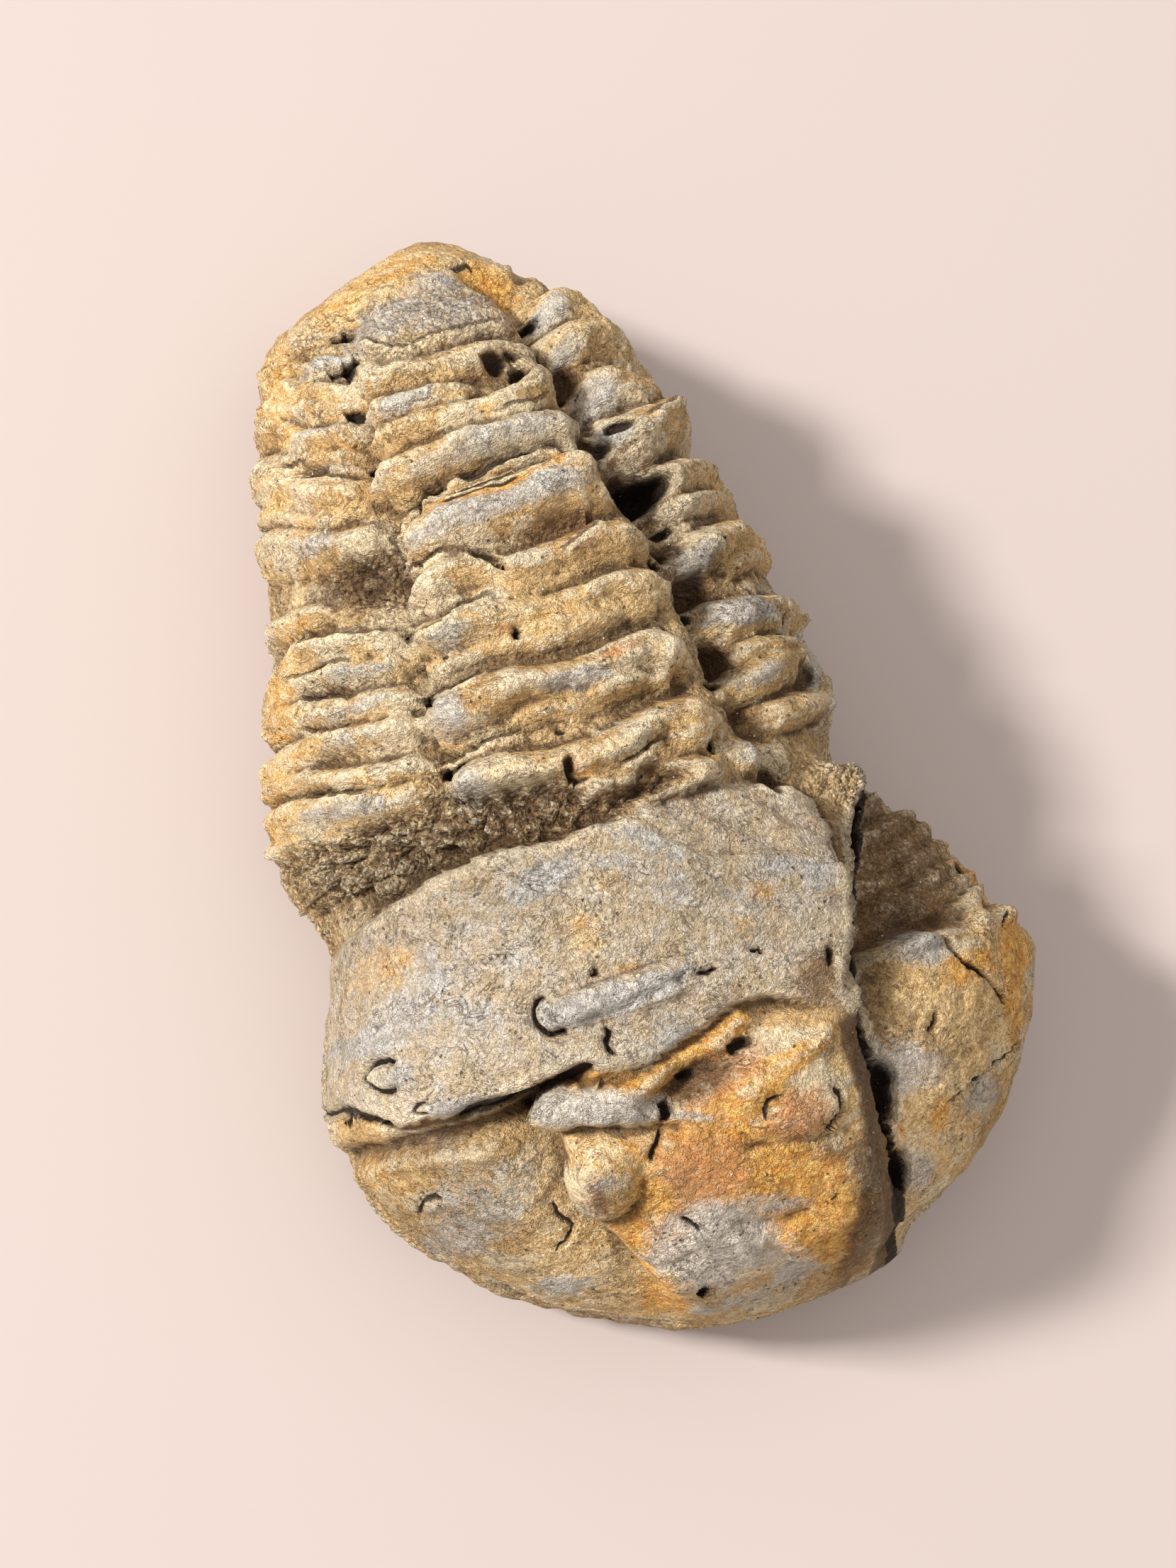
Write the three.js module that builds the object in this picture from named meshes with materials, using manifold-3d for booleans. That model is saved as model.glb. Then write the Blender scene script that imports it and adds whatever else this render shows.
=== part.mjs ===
// A fossil trilobite of the calymenid kind, worn and partly still in its stone, lying on its flat underside.
// Millimetres, +Z up. The long axis lies along Y with the tail at +Y and the head at -Y. The arched back is
// on top, and the origin is the middle of the underside of its box.
//
// The fossil is one stone. Its skin is a loft of cross-sections that run along Y: an arch over the back, and
// a flatter belly that ends in the flat that it rests on. Ribs, furrows, lobes and pits are heights added to
// that skin. Three such skins are cut along the fracture and along the edge of a slab of stone, and joined:
//   - the main part, with the ringed tail and trunk, and the left and middle of the head,
//   - the slab of stone that still covers the neck, a little higher and squarer than the back,
//   - the part right of the fracture, with the ends of the ribs and the right cheek, which lies lower.
import * as THREE from "three";
import { mergeVertices } from "three/addons/utils/BufferGeometryUtils.js";
import Module from "manifold-3d";

// Driving dimensions
const HALF_LENGTH = 41.45;
const MIDDLE_Y = 0.25; // the middle of the length; the box is centred on the origin at the end
const AXIS_X = -2; // where the crest of the back runs
const BELLY_HEIGHT = 9.5; // height of the widest line of a cross-section
const ARCH_SQUARENESS = 2.2; // 2 is an ellipse, more is squarer
const SLAB_SQUARENESS = 3.4;
const SLAB_RISE = 1.1; // how far the slab's crest stands above the back's
const CRACK_FLOOR = 15; // the fracture is open above this height
const SLIVER = 0.03; // detail finer than this is dropped
const MATERIAL = { color: 0xb39b78, roughness: 0.92, metalness: 0 };

// Rows of faces from tail to head, and faces around each
const MAIN_ROWS = 90;
const MAIN_COLUMNS = 52;
const SLAB_ROWS = 130;
const SLAB_COLUMNS = 46;
const TOP_SHARE = 0.72; // share of the columns that lie on the back

// Plan outline of the widest line, from the tail's tip to the head's front, [x, y]
const LEFT_SIDE = [
  [0, 41.7], [-2.4, 41.4], [-4.9, 40.4], [-9.7, 38.4], [-13, 35.8], [-14.9, 32], [-16.8, 27.4],
  [-19, 18.2], [-21.2, 11], [-23.3, 3.5], [-23.8, -1.5], [-22.6, -4.5], [-22.4, -7], [-24.1, -12],
  [-26, -17], [-26.3, -20], [-25.3, -23], [-23.7, -26.3], [-21.3, -29.6], [-16.9, -34.1],
  [-10.4, -37.9], [-4, -40.2], [0, -40.9], [3, -41.2],
];
const RIGHT_SIDE = [
  [0, 41.7], [2.4, 41.2], [4.6, 39.8], [7.3, 37.3], [11, 34.6], [13.6, 30.1], [15, 25], [16.3, 20],
  [17.9, 13.5], [18.8, 6.7], [18.8, 1], [18, -4], [19.2, -6.5], [21.5, -9.8], [23.6, -13.2],
  [25.5, -17], [27.2, -21], [26.9, -23.8], [25.4, -26.9], [21.3, -32.1], [16.6, -36.2], [12.2, -38.7],
  [8.4, -40.5], [3, -41.2],
];
// Height of the crest of the back along the body, [y, z]
const CREST = [
  [41.7, 9.5], [41.3, 11.5], [40, 15.5], [37, 19.5], [32, 23], [25, 25.8], [15, 28], [5, 29.2],
  [-5, 29.8], [-15, 29.6], [-22, 28.6], [-28, 26.8], [-33, 23.8], [-37, 19.6], [-39.8, 14],
  [-40.9, 10.5], [-41.2, 8.2],
];

// Where the axial lobe ends on each side of the trunk, [x, y]
const LEFT_FURROW = [
  [-7.5, 35], [-9, 31.7], [-9.6, 27.6], [-10.2, 22], [-10.7, 17], [-11.9, 12], [-12.3, 6.8], [-12.8, 2],
  [-14.5, -4],
];
const RIGHT_FURROW = [
  [3.5, 35], [4.8, 31.7], [5.2, 28], [5.6, 22], [6.8, 15.5], [7.8, 11], [8.1, 7.5], [8.3, 2], [8.8, -4],
];
// Crests of the segments from head to tail, as y, on the crest of the back and on its left and right
const AXIAL_RINGS = [-8.8, -4.4, 0.2, 5.1, 10, 14.1, 18.5, 22.8, 26.2, 29, 31.4, 33.5];
const LEFT_RIBS = [-10.5, -6.3, -1.9, 2.7, 7.3, 11.8, 16.2, 20.6, 24.8, 28.6, 31.7, 34.4];
const RIGHT_RIBS = [-11.5, -7.2, -3, 1.2, 6.2, 11, 16.2, 20.8, 24.8, 28.8, 32.2, 35];
// How far a segment's crest lies towards the tail at each x, [x, y]
const AXIAL_SWEEP = [[-12, 1], [-9, 0.7], [-5, -0.3], [-1, -0.3], [3, 0.7], [5, -0.4], [9, -1]];
const LEFT_SWEEP = [[-24, 2.2], [-17, 0], [-12, -0.9], [-8, -1.2]];
const RIGHT_SWEEP = [[5, -1.5], [9, 0], [14, 2.4], [19, 4]];
const RING_RISE = 1.25;
const LEFT_RIB_RISE = 0.85;
const RIGHT_RIB_RISE = 1.25;
const RIB_END_RISE = 1.1;

// The head: the furrow left of its middle lobe, the lobe's outline, and the furrow behind the left cheek
const GLABELLA = [
  [-13.4, -23.5], [-13.5, -28], [-12.3, -30.8], [-10.7, -33], [-9.3, -35.5], [-7.5, -38], [-4, -41],
  [3, -43], [14, -42], [14, -22], [-4, -21.5], [-10, -21.5],
];
const CHEEK_FURROW = [
  [-15.7, -21], [-15.4, -24.5], [-15, -27.5], [-13.9, -31], [-12, -34], [-9.7, -37], [-8, -40],
];
const BORDER_FURROW = [[-25.5, -20.2], [-21, -21.9], [-18.3, -22], [-15.7, -21.5]];
// Swellings and hollows of the head and the slab: [x, y, half-length, half-width, turn in degrees, height]
const LOBES = [
  [-11.3, -27.5, 2.4, 2.1, 60, 1.2], // left basal lobe
  [2.8, -26.3, 2.8, 2.3, 10, 1], // right basal lobe
  [-10.4, -21.7, 3.6, 1.3, 0, 1.3], // left half of the neck ring
  [-6.8, -32.3, 3, 1.7, 15, 0.7], // second lobe
  [-2.6, -22.3, 2.6, 1.5, 20, -1.5], // hollow where the neck ring is lost
  [-9.8, -29.4, 1.3, 0.9, 35, -1.2], // below the left basal lobe
  [-22.2, -25.5, 1.4, 1.1, 0, 0.7], // stump of the left eye
];
const RIDGES = [
  { path: [[-8.6, 18], [-6, 19.1], [-0.5, 19.7], [4.4, 18]], width: 1.5, rise: 0.9 }, // the proud ring
  { path: [[-13, -19.7], [-8, -20.6], [-5, -20.8], [-2.5, -19.9], [-0.5, -18.9]], width: 0.7, rise: 0.9 },
  { path: [[-3.5, -25.3], [-0.5, -23.6], [2.5, -22.9], [5.5, -22]], width: 0.8, rise: 0.8 },
];
// Pits and broken hollows in the trunk: [x, y, half-length, half-width, turn in degrees, depth]
const PITS = [
  [5.9, 15.4, 2.1, 1.5, -15, 5], [5.3, 28.2, 0.8, 0.9, -40, 2.2], [4.8, 31.6, 1, 0.7, -20, 2.2],
  [-8.6, 31.8, 1.4, 0.6, 25, 1.6], [1.3, 26.6, 1.4, 0.8, -15, 1.8], [-10, 24.2, 0.8, 0.5, 10, 1.5],
  [-13.6, 16, 2.6, 1.7, 20, 1.3], [-17, -2.6, 2.3, 1.3, 15, 1.9], [-14.6, -3.9, 1, 0.7, 45, 2],
  [7.6, 10.6, 1, 0.8, 0, 1.8], [7.9, 1.6, 0.9, 0.8, 0, 1.8], [5.3, 19.6, 1.2, 0.8, 20, 1.8],
];

// The slab of stone over the neck: its outline, the flake broken off its corner, a ring that shows in it
const SLAB = [
  [-30, -7], [-22.3, -6.4], [-18.5, -5.6], [-15, -5.1], [-10, -4.6], [-5, -4.6], [-1.5, -4.9],
  [2.5, -4.3], [5.5, -4.6], [8.5, -6.2], [10.4, -8.2], [10, -11], [9.6, -13.5], [9, -16], [8, -19.5],
  [7.2, -21.8], [5, -20.6], [3.2, -19.9], [1.2, -19.5], [-0.4, -19.7], [-2, -20.1], [-4, -20.8],
  [-7, -21.1], [-12.5, -20.1], [-15.5, -20.3], [-19, -20.4], [-23, -19.4], [-25, -17.6], [-30, -16],
];
const FLAKE_EDGE = [[-2.6, -5.8], [0.4, -8.8], [4, -9.8], [9.6, -11]];
const FLAKE_DROP = 1.1;
const SLAB_RING = { from: [-10.8, -15.3], to: [-4, -15.1], width: 1.2, rise: 0.9 };
const SLAB_KNOBS = [[-22.4, -16.8, 1.9, 1.1, 15, 0.8], [-20.9, -19.1, 0.8, 0.6, 0, 0.5]];

// The fracture: its route from the shoulder to the head's front, and its width, [x, y, width]
const FRACTURE = [
  [70, 2, 0.3], [24, -3, 0.3], [17.5, -4.4, 0.4], [14, -6, 0.8], [13.3, -8.4, 1.6], [12.5, -11, 2],
  [11, -15.2, 2], [9.9, -18.6, 1.8], [8.8, -21.4, 1.1], [8.4, -24.4, 0.9], [9.1, -28.3, 2.1],
  [8.6, -31.2, 1.1], [9.3, -34, 2], [9.4, -37, 1.1], [10.4, -70, 0.9],
];
// Right of it: how high the surface stands, as a share of the main part's arch, [y, share]
const RIB_END_SHARE = [[-22, 0.72], [-18, 0.72], [-9, 0.76], [-6, 0.84], [-3, 1]];
const CHEEK_SHARE = [[-42, 0.88], [-32, 0.9], [-24, 0.93], [-18, 0.93]];
const RIB_ENDS = [-21, -18.5, -16, -13.6, -11.2, -8.8, -6.4];
const RIB_END_SWEEP = [[10, -1.6], [26, 2.7]];
const CHEEK_EDGE = [
  [7, -20.8], [8.7, -20.2], [12, -19.2], [16.5, -18.8], [19.5, -19.2], [21.5, -18.5], [24.5, -19.4],
  [29, -20.5],
];
const RIGHT_BORDER = [[26.5, -22], [24.7, -26.8], [22.6, -29.2], [19.8, -30.2], [16, -31.2]];
const SHOULDER_LUMP = [15.5, -6.8, 2.2, 1.5, -10, 1.6]; // loose-grained stone behind the cheek

const radians = THREE.MathUtils.degToRad;
const smooth = (low, high, value) => THREE.MathUtils.smoothstep(value, low, high);
const between = (from, to, value) => (from < to ? smooth(from, to, value) : 1 - smooth(to, from, value));
const swell = (distance, width) => Math.exp(-((distance / width) ** 2));

// Value at `at` in a table of [at, value] rows, which are in order of `at`
function along(rows, at) {
  if (at <= rows[0][0]) return rows[0][1];
  if (at >= rows[rows.length - 1][0]) return rows[rows.length - 1][1];
  let low = 0;
  let high = rows.length - 1;
  while (high - low > 1) {
    const half = (low + high) >> 1;
    if (rows[half][0] > at) high = half;
    else low = half;
  }
  const [a, va] = rows[low];
  const [b, vb] = rows[high];
  return va + ((vb - va) * (at - a)) / (b - a);
}

// A smooth curve through points, as such a table, read by y where `by` is 1
function curve(points, by) {
  const spline = new THREE.SplineCurve(points.map(([x, y]) => new THREE.Vector2(x, y)));
  const rows = spline.getPoints(points.length * 12).map(({ x, y }) => (by ? [y, x] : [x, y]));
  return rows.sort((p, q) => p[0] - q[0]);
}

const leftSide = curve(LEFT_SIDE, 1);
const rightSide = curve(RIGHT_SIDE, 1);
const crestLine = curve(CREST, 0);
const leftFurrow = curve(LEFT_FURROW, 1);
const rightFurrow = curve(RIGHT_FURROW, 1);

function pathDistance(path, x, y) {
  let nearest = Infinity;
  for (let i = 1; i < path.length; i++) {
    const [ax, ay] = path[i - 1];
    const dx = path[i][0] - ax;
    const dy = path[i][1] - ay;
    const t = THREE.MathUtils.clamp(((x - ax) * dx + (y - ay) * dy) / (dx * dx + dy * dy), 0, 1);
    nearest = Math.min(nearest, Math.hypot(x - ax - t * dx, y - ay - t * dy));
  }
  return nearest;
}

// Distance into an outline: positive inside, negative outside it
function depthInside(outline, x, y) {
  let inside = false;
  outline.forEach(([ax, ay], i) => {
    const [bx, by] = outline[(i + 1) % outline.length];
    if (ay > y !== by > y && x < ((bx - ax) * (y - ay)) / (by - ay) + ax) inside = !inside;
  });
  const distance = pathDistance([...outline, outline[0]], x, y);
  return inside ? distance : -distance;
}

function spot([cx, cy, length, width, turn, height], x, y) {
  const c = Math.cos(radians(turn));
  const s = Math.sin(radians(turn));
  const a = ((x - cx) * c + (y - cy) * s) / length;
  const b = ((y - cy) * c - (x - cx) * s) / width;
  return height * Math.exp(-((a * a + b * b) ** 1.5));
}

const total = (spots, x, y) => spots.reduce((sum, one) => sum + spot(one, x, y), 0);

// A point of the plain skin: u runs from -1 at the head to 1 at the tail, angle round from the right side
function skinPoint(u, angle, squareness, rise) {
  const y = MIDDLE_Y + HALF_LENGTH * (1.125 * u - 0.125 * u ** 9);
  const left = along(leftSide, y);
  const right = along(rightSide, y);
  const axis = AXIS_X + ((left + right) / 2 - AXIS_X) * u ** 4;
  const top = along(crestLine, y);
  const middle = Math.min(BELLY_HEIGHT, top);
  const c = Math.cos(angle);
  const s = Math.sin(angle);
  const half = c > 0 ? right - axis : axis - left;
  const side = Math.sign(c) * half;
  if (s >= 0) {
    const lift = top - middle + rise * (1 - u ** 8);
    return new THREE.Vector3(axis + side * Math.abs(c) ** (2 / squareness), y, middle + lift * s);
  }
  const sag = 1.25 * middle * Math.sqrt(1 - Math.min(1, Math.abs(u)) ** 7);
  return new THREE.Vector3(axis + side * Math.abs(c) ** (2 / 3), y, Math.max(0, middle + sag * s));
}

function skinNormal(u, angle, squareness, rise) {
  if (Math.abs(u) > 0.9999) return new THREE.Vector3(0, Math.sign(u), 0);
  const step = 1e-3;
  const at = (du, da) => skinPoint(u + du, angle + da, squareness, rise);
  const lengthwise = at(step, 0).sub(at(-step, 0));
  const around = at(0, step).sub(at(0, -step));
  return lengthwise.cross(around).normalize();
}

// Height of a segmented surface: crests at the listed y, with a lesser ridge between each two
function segments(crests, y, lesser) {
  const last = crests.length - 1;
  let i = 0;
  while (i < last - 1 && crests[i + 1] < y) i++;
  const phase = THREE.MathUtils.clamp((y - crests[i]) / (crests[i + 1] - crests[i]), 0, 1);
  const nearest = Math.min(phase, 1 - phase);
  return swell(nearest, 0.27) + lesser * swell(phase - 0.52, 0.13) - 0.45;
}

// Relief of the ringed trunk and tail
function trunk(x, y) {
  const leftEdge = along(leftFurrow, y);
  const rightEdge = along(rightFurrow, y);
  const left = between(leftEdge + 0.2, leftEdge - 1.4, x);
  const right = between(rightEdge - 0.2, rightEdge + 1.2, x);
  const across = THREE.MathUtils.clamp((2 * x - leftEdge - rightEdge) / (rightEdge - leftEdge), -1, 1);
  const tail = between(36.5, 32, y);
  const rings = RING_RISE * between(34, 29, y) * segments(AXIAL_RINGS, y - along(AXIAL_SWEEP, x), 0.15);
  const leftRibs = LEFT_RIB_RISE * tail * segments(LEFT_RIBS, y - along(LEFT_SWEEP, x), 0.5);
  const rightRibs = RIGHT_RIB_RISE * tail * segments(RIGHT_RIBS, y - along(RIGHT_SWEEP, x), 0.12);
  const ribs = left * leftRibs + right * rightRibs + (1 - left - right) * rings;
  const furrows = 1 * swell(x - leftEdge, 1.3) + 2.3 * swell(x - rightEdge - 0.4, 1.4);
  const lobe = 0.9 * Math.max(0, 1 - across * across);
  return ribs + tail * (lobe - furrows);
}

// Loose-grained stone between the ribs and the slab
const rubble = (x, y) => -1.3 * between(-0.2, -1.8 - 0.12 * (x + 10), y) * between(-9, -7, y);

// Relief of the head left of the fracture
function head(x, y) {
  const lobe = 1.9 * between(-1.2, 1.6, depthInside(GLABELLA, x, y));
  const furrow = 2 * swell(pathDistance(CHEEK_FURROW, x, y), 1.7);
  const border = 1.1 * swell(pathDistance(BORDER_FURROW, x, y), 0.8);
  const flank = 1.2 * swell(pathDistance(FRACTURE, x, y), 2.2);
  return lobe - furrow - border - flank + total(LOBES, x, y) - 0.6;
}

const overBelly = (z) => between(BELLY_HEIGHT - 1, BELLY_HEIGHT + 2.5, z);

function mainRelief(x, y, z) {
  const inHead = between(-16, -18, y);
  const ridges = RIDGES.reduce((sum, r) => sum + r.rise * swell(pathDistance(r.path, x, y), r.width), 0);
  const pits = -total(PITS, x, y);
  const behind = (1 - inHead) * (trunk(x, y) + rubble(x, y));
  return overBelly(z) * (inHead * head(x, y) + behind + ridges + pits);
}

function slabRelief(x, y) {
  const { from, to, width, rise } = SLAB_RING;
  const ring = rise * swell(pathDistance([from, to], x, y), width);
  const beyond = y - along(FLAKE_EDGE, x);
  const flake = FLAKE_DROP * between(-0.3, 2.5, beyond) * between(-3.5, -1, x);
  return ring - flake + total(SLAB_KNOBS, x, y);
}

const onCheek = (x, y) => between(along(CHEEK_EDGE, x) + 1.2, along(CHEEK_EDGE, x) - 0.8, y);

function rightRelief(x, y, z) {
  const cheek = onCheek(x, y);
  const ends = RIB_END_RISE * segments(RIB_ENDS, y - along(RIB_END_SWEEP, x), 0.1);
  const border = 0.9 * swell(pathDistance(RIGHT_BORDER, x, y), 0.9);
  const there = cheek * -border + (1 - cheek) * ends + spot(SHOULDER_LUMP, x, y);
  const share = between(BELLY_HEIGHT - 2, BELLY_HEIGHT + 3, z) * between(-3, -7, y);
  return share * there + (1 - share) * mainRelief(x, y, z);
}

function rightShare(x, y) {
  const cheek = onCheek(x, y);
  return cheek * along(CHEEK_SHARE, y) + (1 - cheek) * along(RIB_END_SHARE, y);
}

// Low swells of the broken stone round the sides
function stoneSwell(x, y, z) {
  const broad = Math.sin(0.5 * y + 0.3 * z) * Math.sin(0.37 * x - 0.45 * z + 1);
  return 0.5 * broad + 0.15 * Math.sin(1.1 * y - 0.6 * x);
}

// A closed skin with its relief: a sphere whose every vertex is moved to its place
function skin(wasm, rows, columns, relief, form = {}) {
  const { squareness = ARCH_SQUARENESS, rise = 0, archShare = () => 1 } = form;
  const sphere = new THREE.SphereGeometry(1, columns, rows);
  const place = sphere.getAttribute("position");
  for (let i = 0; i < place.count; i++) {
    const u = 1 - (2 * Math.acos(THREE.MathUtils.clamp(place.getY(i), -1, 1))) / Math.PI;
    const turn = Math.atan2(place.getZ(i), place.getX(i)) / (2 * Math.PI);
    const share = turn < -1e-6 ? turn + 1 : Math.max(turn, 0);
    const onBack = share <= TOP_SHARE;
    const angle = Math.PI * (onBack ? share / TOP_SHARE : 1 + (share - TOP_SHARE) / (1 - TOP_SHARE));
    const point = skinPoint(u, angle, squareness, rise);
    const { x, y, z } = point;
    const stone = stoneSwell(x, y, z) * between(BELLY_HEIGHT + 3, BELLY_HEIGHT - 1, z);
    const height = between(0.2, 3, z) * (1 - u ** 20) * (stone + (onBack ? relief(x, y, z) : 0));
    point.addScaledVector(skinNormal(u, angle, squareness, rise), height);
    if (point.z > BELLY_HEIGHT) point.z = BELLY_HEIGHT + (point.z - BELLY_HEIGHT) * archShare(x, y);
    place.setXYZ(i, point.x, point.y, Math.max(0, point.z));
  }
  sphere.deleteAttribute("normal");
  sphere.deleteAttribute("uv");
  return solid(wasm, sphere);
}

function solid(wasm, geometry) {
  const merged = mergeVertices(geometry, 1e-3);
  const vertices = new Float32Array(merged.getAttribute("position").array);
  const faces = [];
  const index = merged.index.array;
  for (let i = 0; i < index.length; i += 3) {
    const [a, b, c] = [index[i], index[i + 1], index[i + 2]];
    if (a !== b && b !== c && a !== c) faces.push(a, b, c);
  }
  const mesh = new wasm.Mesh({ numProp: 3, vertProperties: vertices, triVerts: new Uint32Array(faces) });
  return new wasm.Manifold(mesh);
}

// An upright block with the given plan outline, between two heights
function block(wasm, outline, low, high) {
  const shape = new THREE.Shape(outline.map(([x, y]) => new THREE.Vector2(x, y)));
  const geometry = new THREE.ExtrudeGeometry(shape, { depth: high - low, bevelEnabled: false });
  geometry.translate(0, 0, low);
  geometry.deleteAttribute("normal");
  geometry.deleteAttribute("uv");
  return solid(wasm, geometry);
}

// The two lips of the fracture: its route moved sideways by half its width
function lip(side) {
  return FRACTURE.map(([x, y, width], i) => {
    const [ax, ay] = FRACTURE[Math.max(i - 1, 0)];
    const [bx, by] = FRACTURE[Math.min(i + 1, FRACTURE.length - 1)];
    const reach = (side * width) / 2 / Math.hypot(bx - ax, by - ay);
    return [x - (by - ay) * reach, y + (bx - ax) * reach];
  });
}

function fossil(wasm) {
  const far = 70;
  const rightOfIt = block(wasm, [...lip(-1), [far, -far]], BELLY_HEIGHT - 2, far);
  const leftOfIt = block(wasm, [...lip(1), [-far, -far], [-far, far], [far, far]], CRACK_FLOOR, far);
  const slabForm = { squareness: SLAB_SQUARENESS, rise: SLAB_RISE };
  const slabOutline = block(wasm, SLAB, BELLY_HEIGHT, far);
  const slab = skin(wasm, SLAB_ROWS, SLAB_COLUMNS, slabRelief, slabForm).intersect(slabOutline);
  const main = skin(wasm, MAIN_ROWS, MAIN_COLUMNS, mainRelief).add(slab).subtract(rightOfIt);
  const within = block(wasm, [...lip(-4), [far, -far]], BELLY_HEIGHT - 3, far);
  const lowered = skin(wasm, MAIN_ROWS, MAIN_COLUMNS, rightRelief, { archShare: rightShare });
  return main.add(lowered.intersect(within).subtract(leftOfIt));
}

function toGeometry(made) {
  const mesh = made.getMesh();
  const position = new Float32Array(mesh.numVert * 3);
  for (let i = 0; i < mesh.numVert; i++) {
    const from = i * mesh.numProp;
    position.set(mesh.vertProperties.subarray(from, from + 3), i * 3);
  }
  return new THREE.BufferGeometry()
    .setAttribute("position", new THREE.BufferAttribute(position, 3))
    .setIndex(new THREE.BufferAttribute(new Uint32Array(mesh.triVerts), 1));
}

const wasm = await Module();
wasm.setup();
const geometry = toGeometry(fossil(wasm).simplify(SLIVER));
geometry.computeBoundingBox();
const { min, max } = geometry.boundingBox;
geometry.translate(-(min.x + max.x) / 2, -(min.y + max.y) / 2, -min.z);

const trilobite = new THREE.Mesh(geometry, new THREE.MeshStandardMaterial(MATERIAL));
trilobite.name = "trilobite";
const group = new THREE.Group();
group.add(trilobite);
export default group;
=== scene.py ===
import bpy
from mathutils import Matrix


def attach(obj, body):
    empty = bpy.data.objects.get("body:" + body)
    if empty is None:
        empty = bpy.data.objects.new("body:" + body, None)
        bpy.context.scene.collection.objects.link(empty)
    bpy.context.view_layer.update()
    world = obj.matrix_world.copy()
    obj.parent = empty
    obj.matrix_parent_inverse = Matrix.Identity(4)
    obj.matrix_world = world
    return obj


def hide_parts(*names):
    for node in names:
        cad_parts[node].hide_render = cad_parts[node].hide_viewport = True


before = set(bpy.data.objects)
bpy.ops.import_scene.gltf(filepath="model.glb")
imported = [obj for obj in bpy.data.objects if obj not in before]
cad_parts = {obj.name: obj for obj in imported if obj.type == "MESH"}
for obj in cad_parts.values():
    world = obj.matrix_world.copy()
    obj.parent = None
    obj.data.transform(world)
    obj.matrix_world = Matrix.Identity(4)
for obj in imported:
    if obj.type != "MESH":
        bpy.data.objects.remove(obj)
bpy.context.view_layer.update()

import math

import bmesh
import bpy
import numpy as np
from mathutils import Matrix, Vector

# The fossil is one stone: a sphere whose vertices are moved to a skin of cross-sections along Y, with
# the tail at +Y and the head at -Y. Relief is then raised on the skin and cut into it. Lengths are
# millimetres until the mesh is written in metres.
HALF_LENGTH = 41.45
MIDDLE_Y = 0.25
AXIS_X = -2  # where the crest of the back runs
BELLY_HEIGHT = 9.5
ARCH_SQUARENESS = 2.2
BELLY_SQUARENESS = 3
BELLY_SAG = 1.25  # over 1, so that the underside is cut flat
SLAB_SQUARENESS = 3.4
SLAB_RISE = 1.1
BOX_SHIFT = (-0.31436, -0.18091)  # the same shift as the CAD model's, which centres it on the origin
ROWS = 330
CROWDING = 0.125  # rows lie closer together towards both ends
COLUMNS = 300
TOP_SHARE = 0.84  # share of the columns that lie on the back
MESH_NAME = "trilobite_stone"

# The ground between the ribs lies below the skin, and the ridges are drawn a little broader than
# their rows say
BETWEEN_RIBS = -0.7
BETWEEN_RIGHT_RIBS = -1.0
BETWEEN_RIB_ENDS = -0.55
RING_WIDER, RING_HIGHER = 1.08, 1.4
LEFT_RIB_WIDER = 1.12
RIGHT_RIB_WIDER, RIGHT_RIB_HIGHER = 1.15, 1.1
RIB_END_WIDER, RIB_END_HIGHER = 1.25, 1.1
BULB_SHARE = 0.55
GROOVE_DEEPER = 1.1
FLAKE_HIGHER = 1.25
CRACK_WIDER = 1.3
HOLE_DEEPER = 1.7
STAIN_WIDER = 1.15
MOST_TONE = 1.4  # places that overlap add up to this at most

# The open fracture
CRACK_FLOOR = 18
RIM_REACH = 0.2  # vertices this near the rim are drawn onto it
RIM_GAP = 0.04  # how far from the rim they then lie
FRACTURE_ENDS = (-8.5, -39.5)  # it is open between these two places along Y

# The hollow in the neck and the lump beside the slab, as ovals: x, y, half-length, half-width, turn
NECK_HOLLOW = (-4.4, -22.4, 2.6, 1.0, 16)
SHOULDER = (14.7, -7.3, 2.5, 1.5, -46)

# The outline of the stone from above, tail first, and the height of its crest
LEFT_SIDE = [
    (0, 41.7), (-2.4, 41.4), (-4.9, 40.4), (-9.7, 38.4), (-13, 35.8), (-14.9, 32), (-16.8, 27.4),
    (-19, 18.2), (-21.2, 11), (-23.3, 3.5), (-23.8, -1.5), (-22.6, -4.5), (-22.4, -7), (-24.1, -12),
    (-26, -17), (-26.3, -20), (-25.3, -23), (-23.7, -26.3), (-21.3, -29.6), (-16.9, -34.1), (-10.4, -37.9),
    (-4, -40.2), (0, -40.9), (3, -41.2),
]
RIGHT_SIDE = [
    (0, 41.7), (2.4, 41.2), (4.6, 39.8), (7.3, 37.3), (11, 34.6), (13.6, 30.1), (15, 25), (16.3, 20),
    (17.9, 13.5), (18.8, 6.7), (18.8, 1), (18, -4), (19.2, -6.5), (21.5, -9.8), (23.6, -13.2), (25.5, -17),
    (27.2, -21), (26.9, -23.8), (25.4, -26.9), (21.3, -32.1), (16.6, -36.2), (12.2, -38.7), (8.4, -40.5),
    (3, -41.2),
]
CREST = [
    (41.7, 9.5), (41.3, 11.5), (40, 15.5), (37, 19.5), (32, 23), (25, 25.8), (15, 28), (5, 29.2),
    (-5, 29.8), (-15, 29.6), (-22, 28.6), (-28, 26.8), (-33, 23.8), (-37, 19.6), (-39.8, 14), (-40.9, 10.5),
    (-41.2, 8.2),
]

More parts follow.
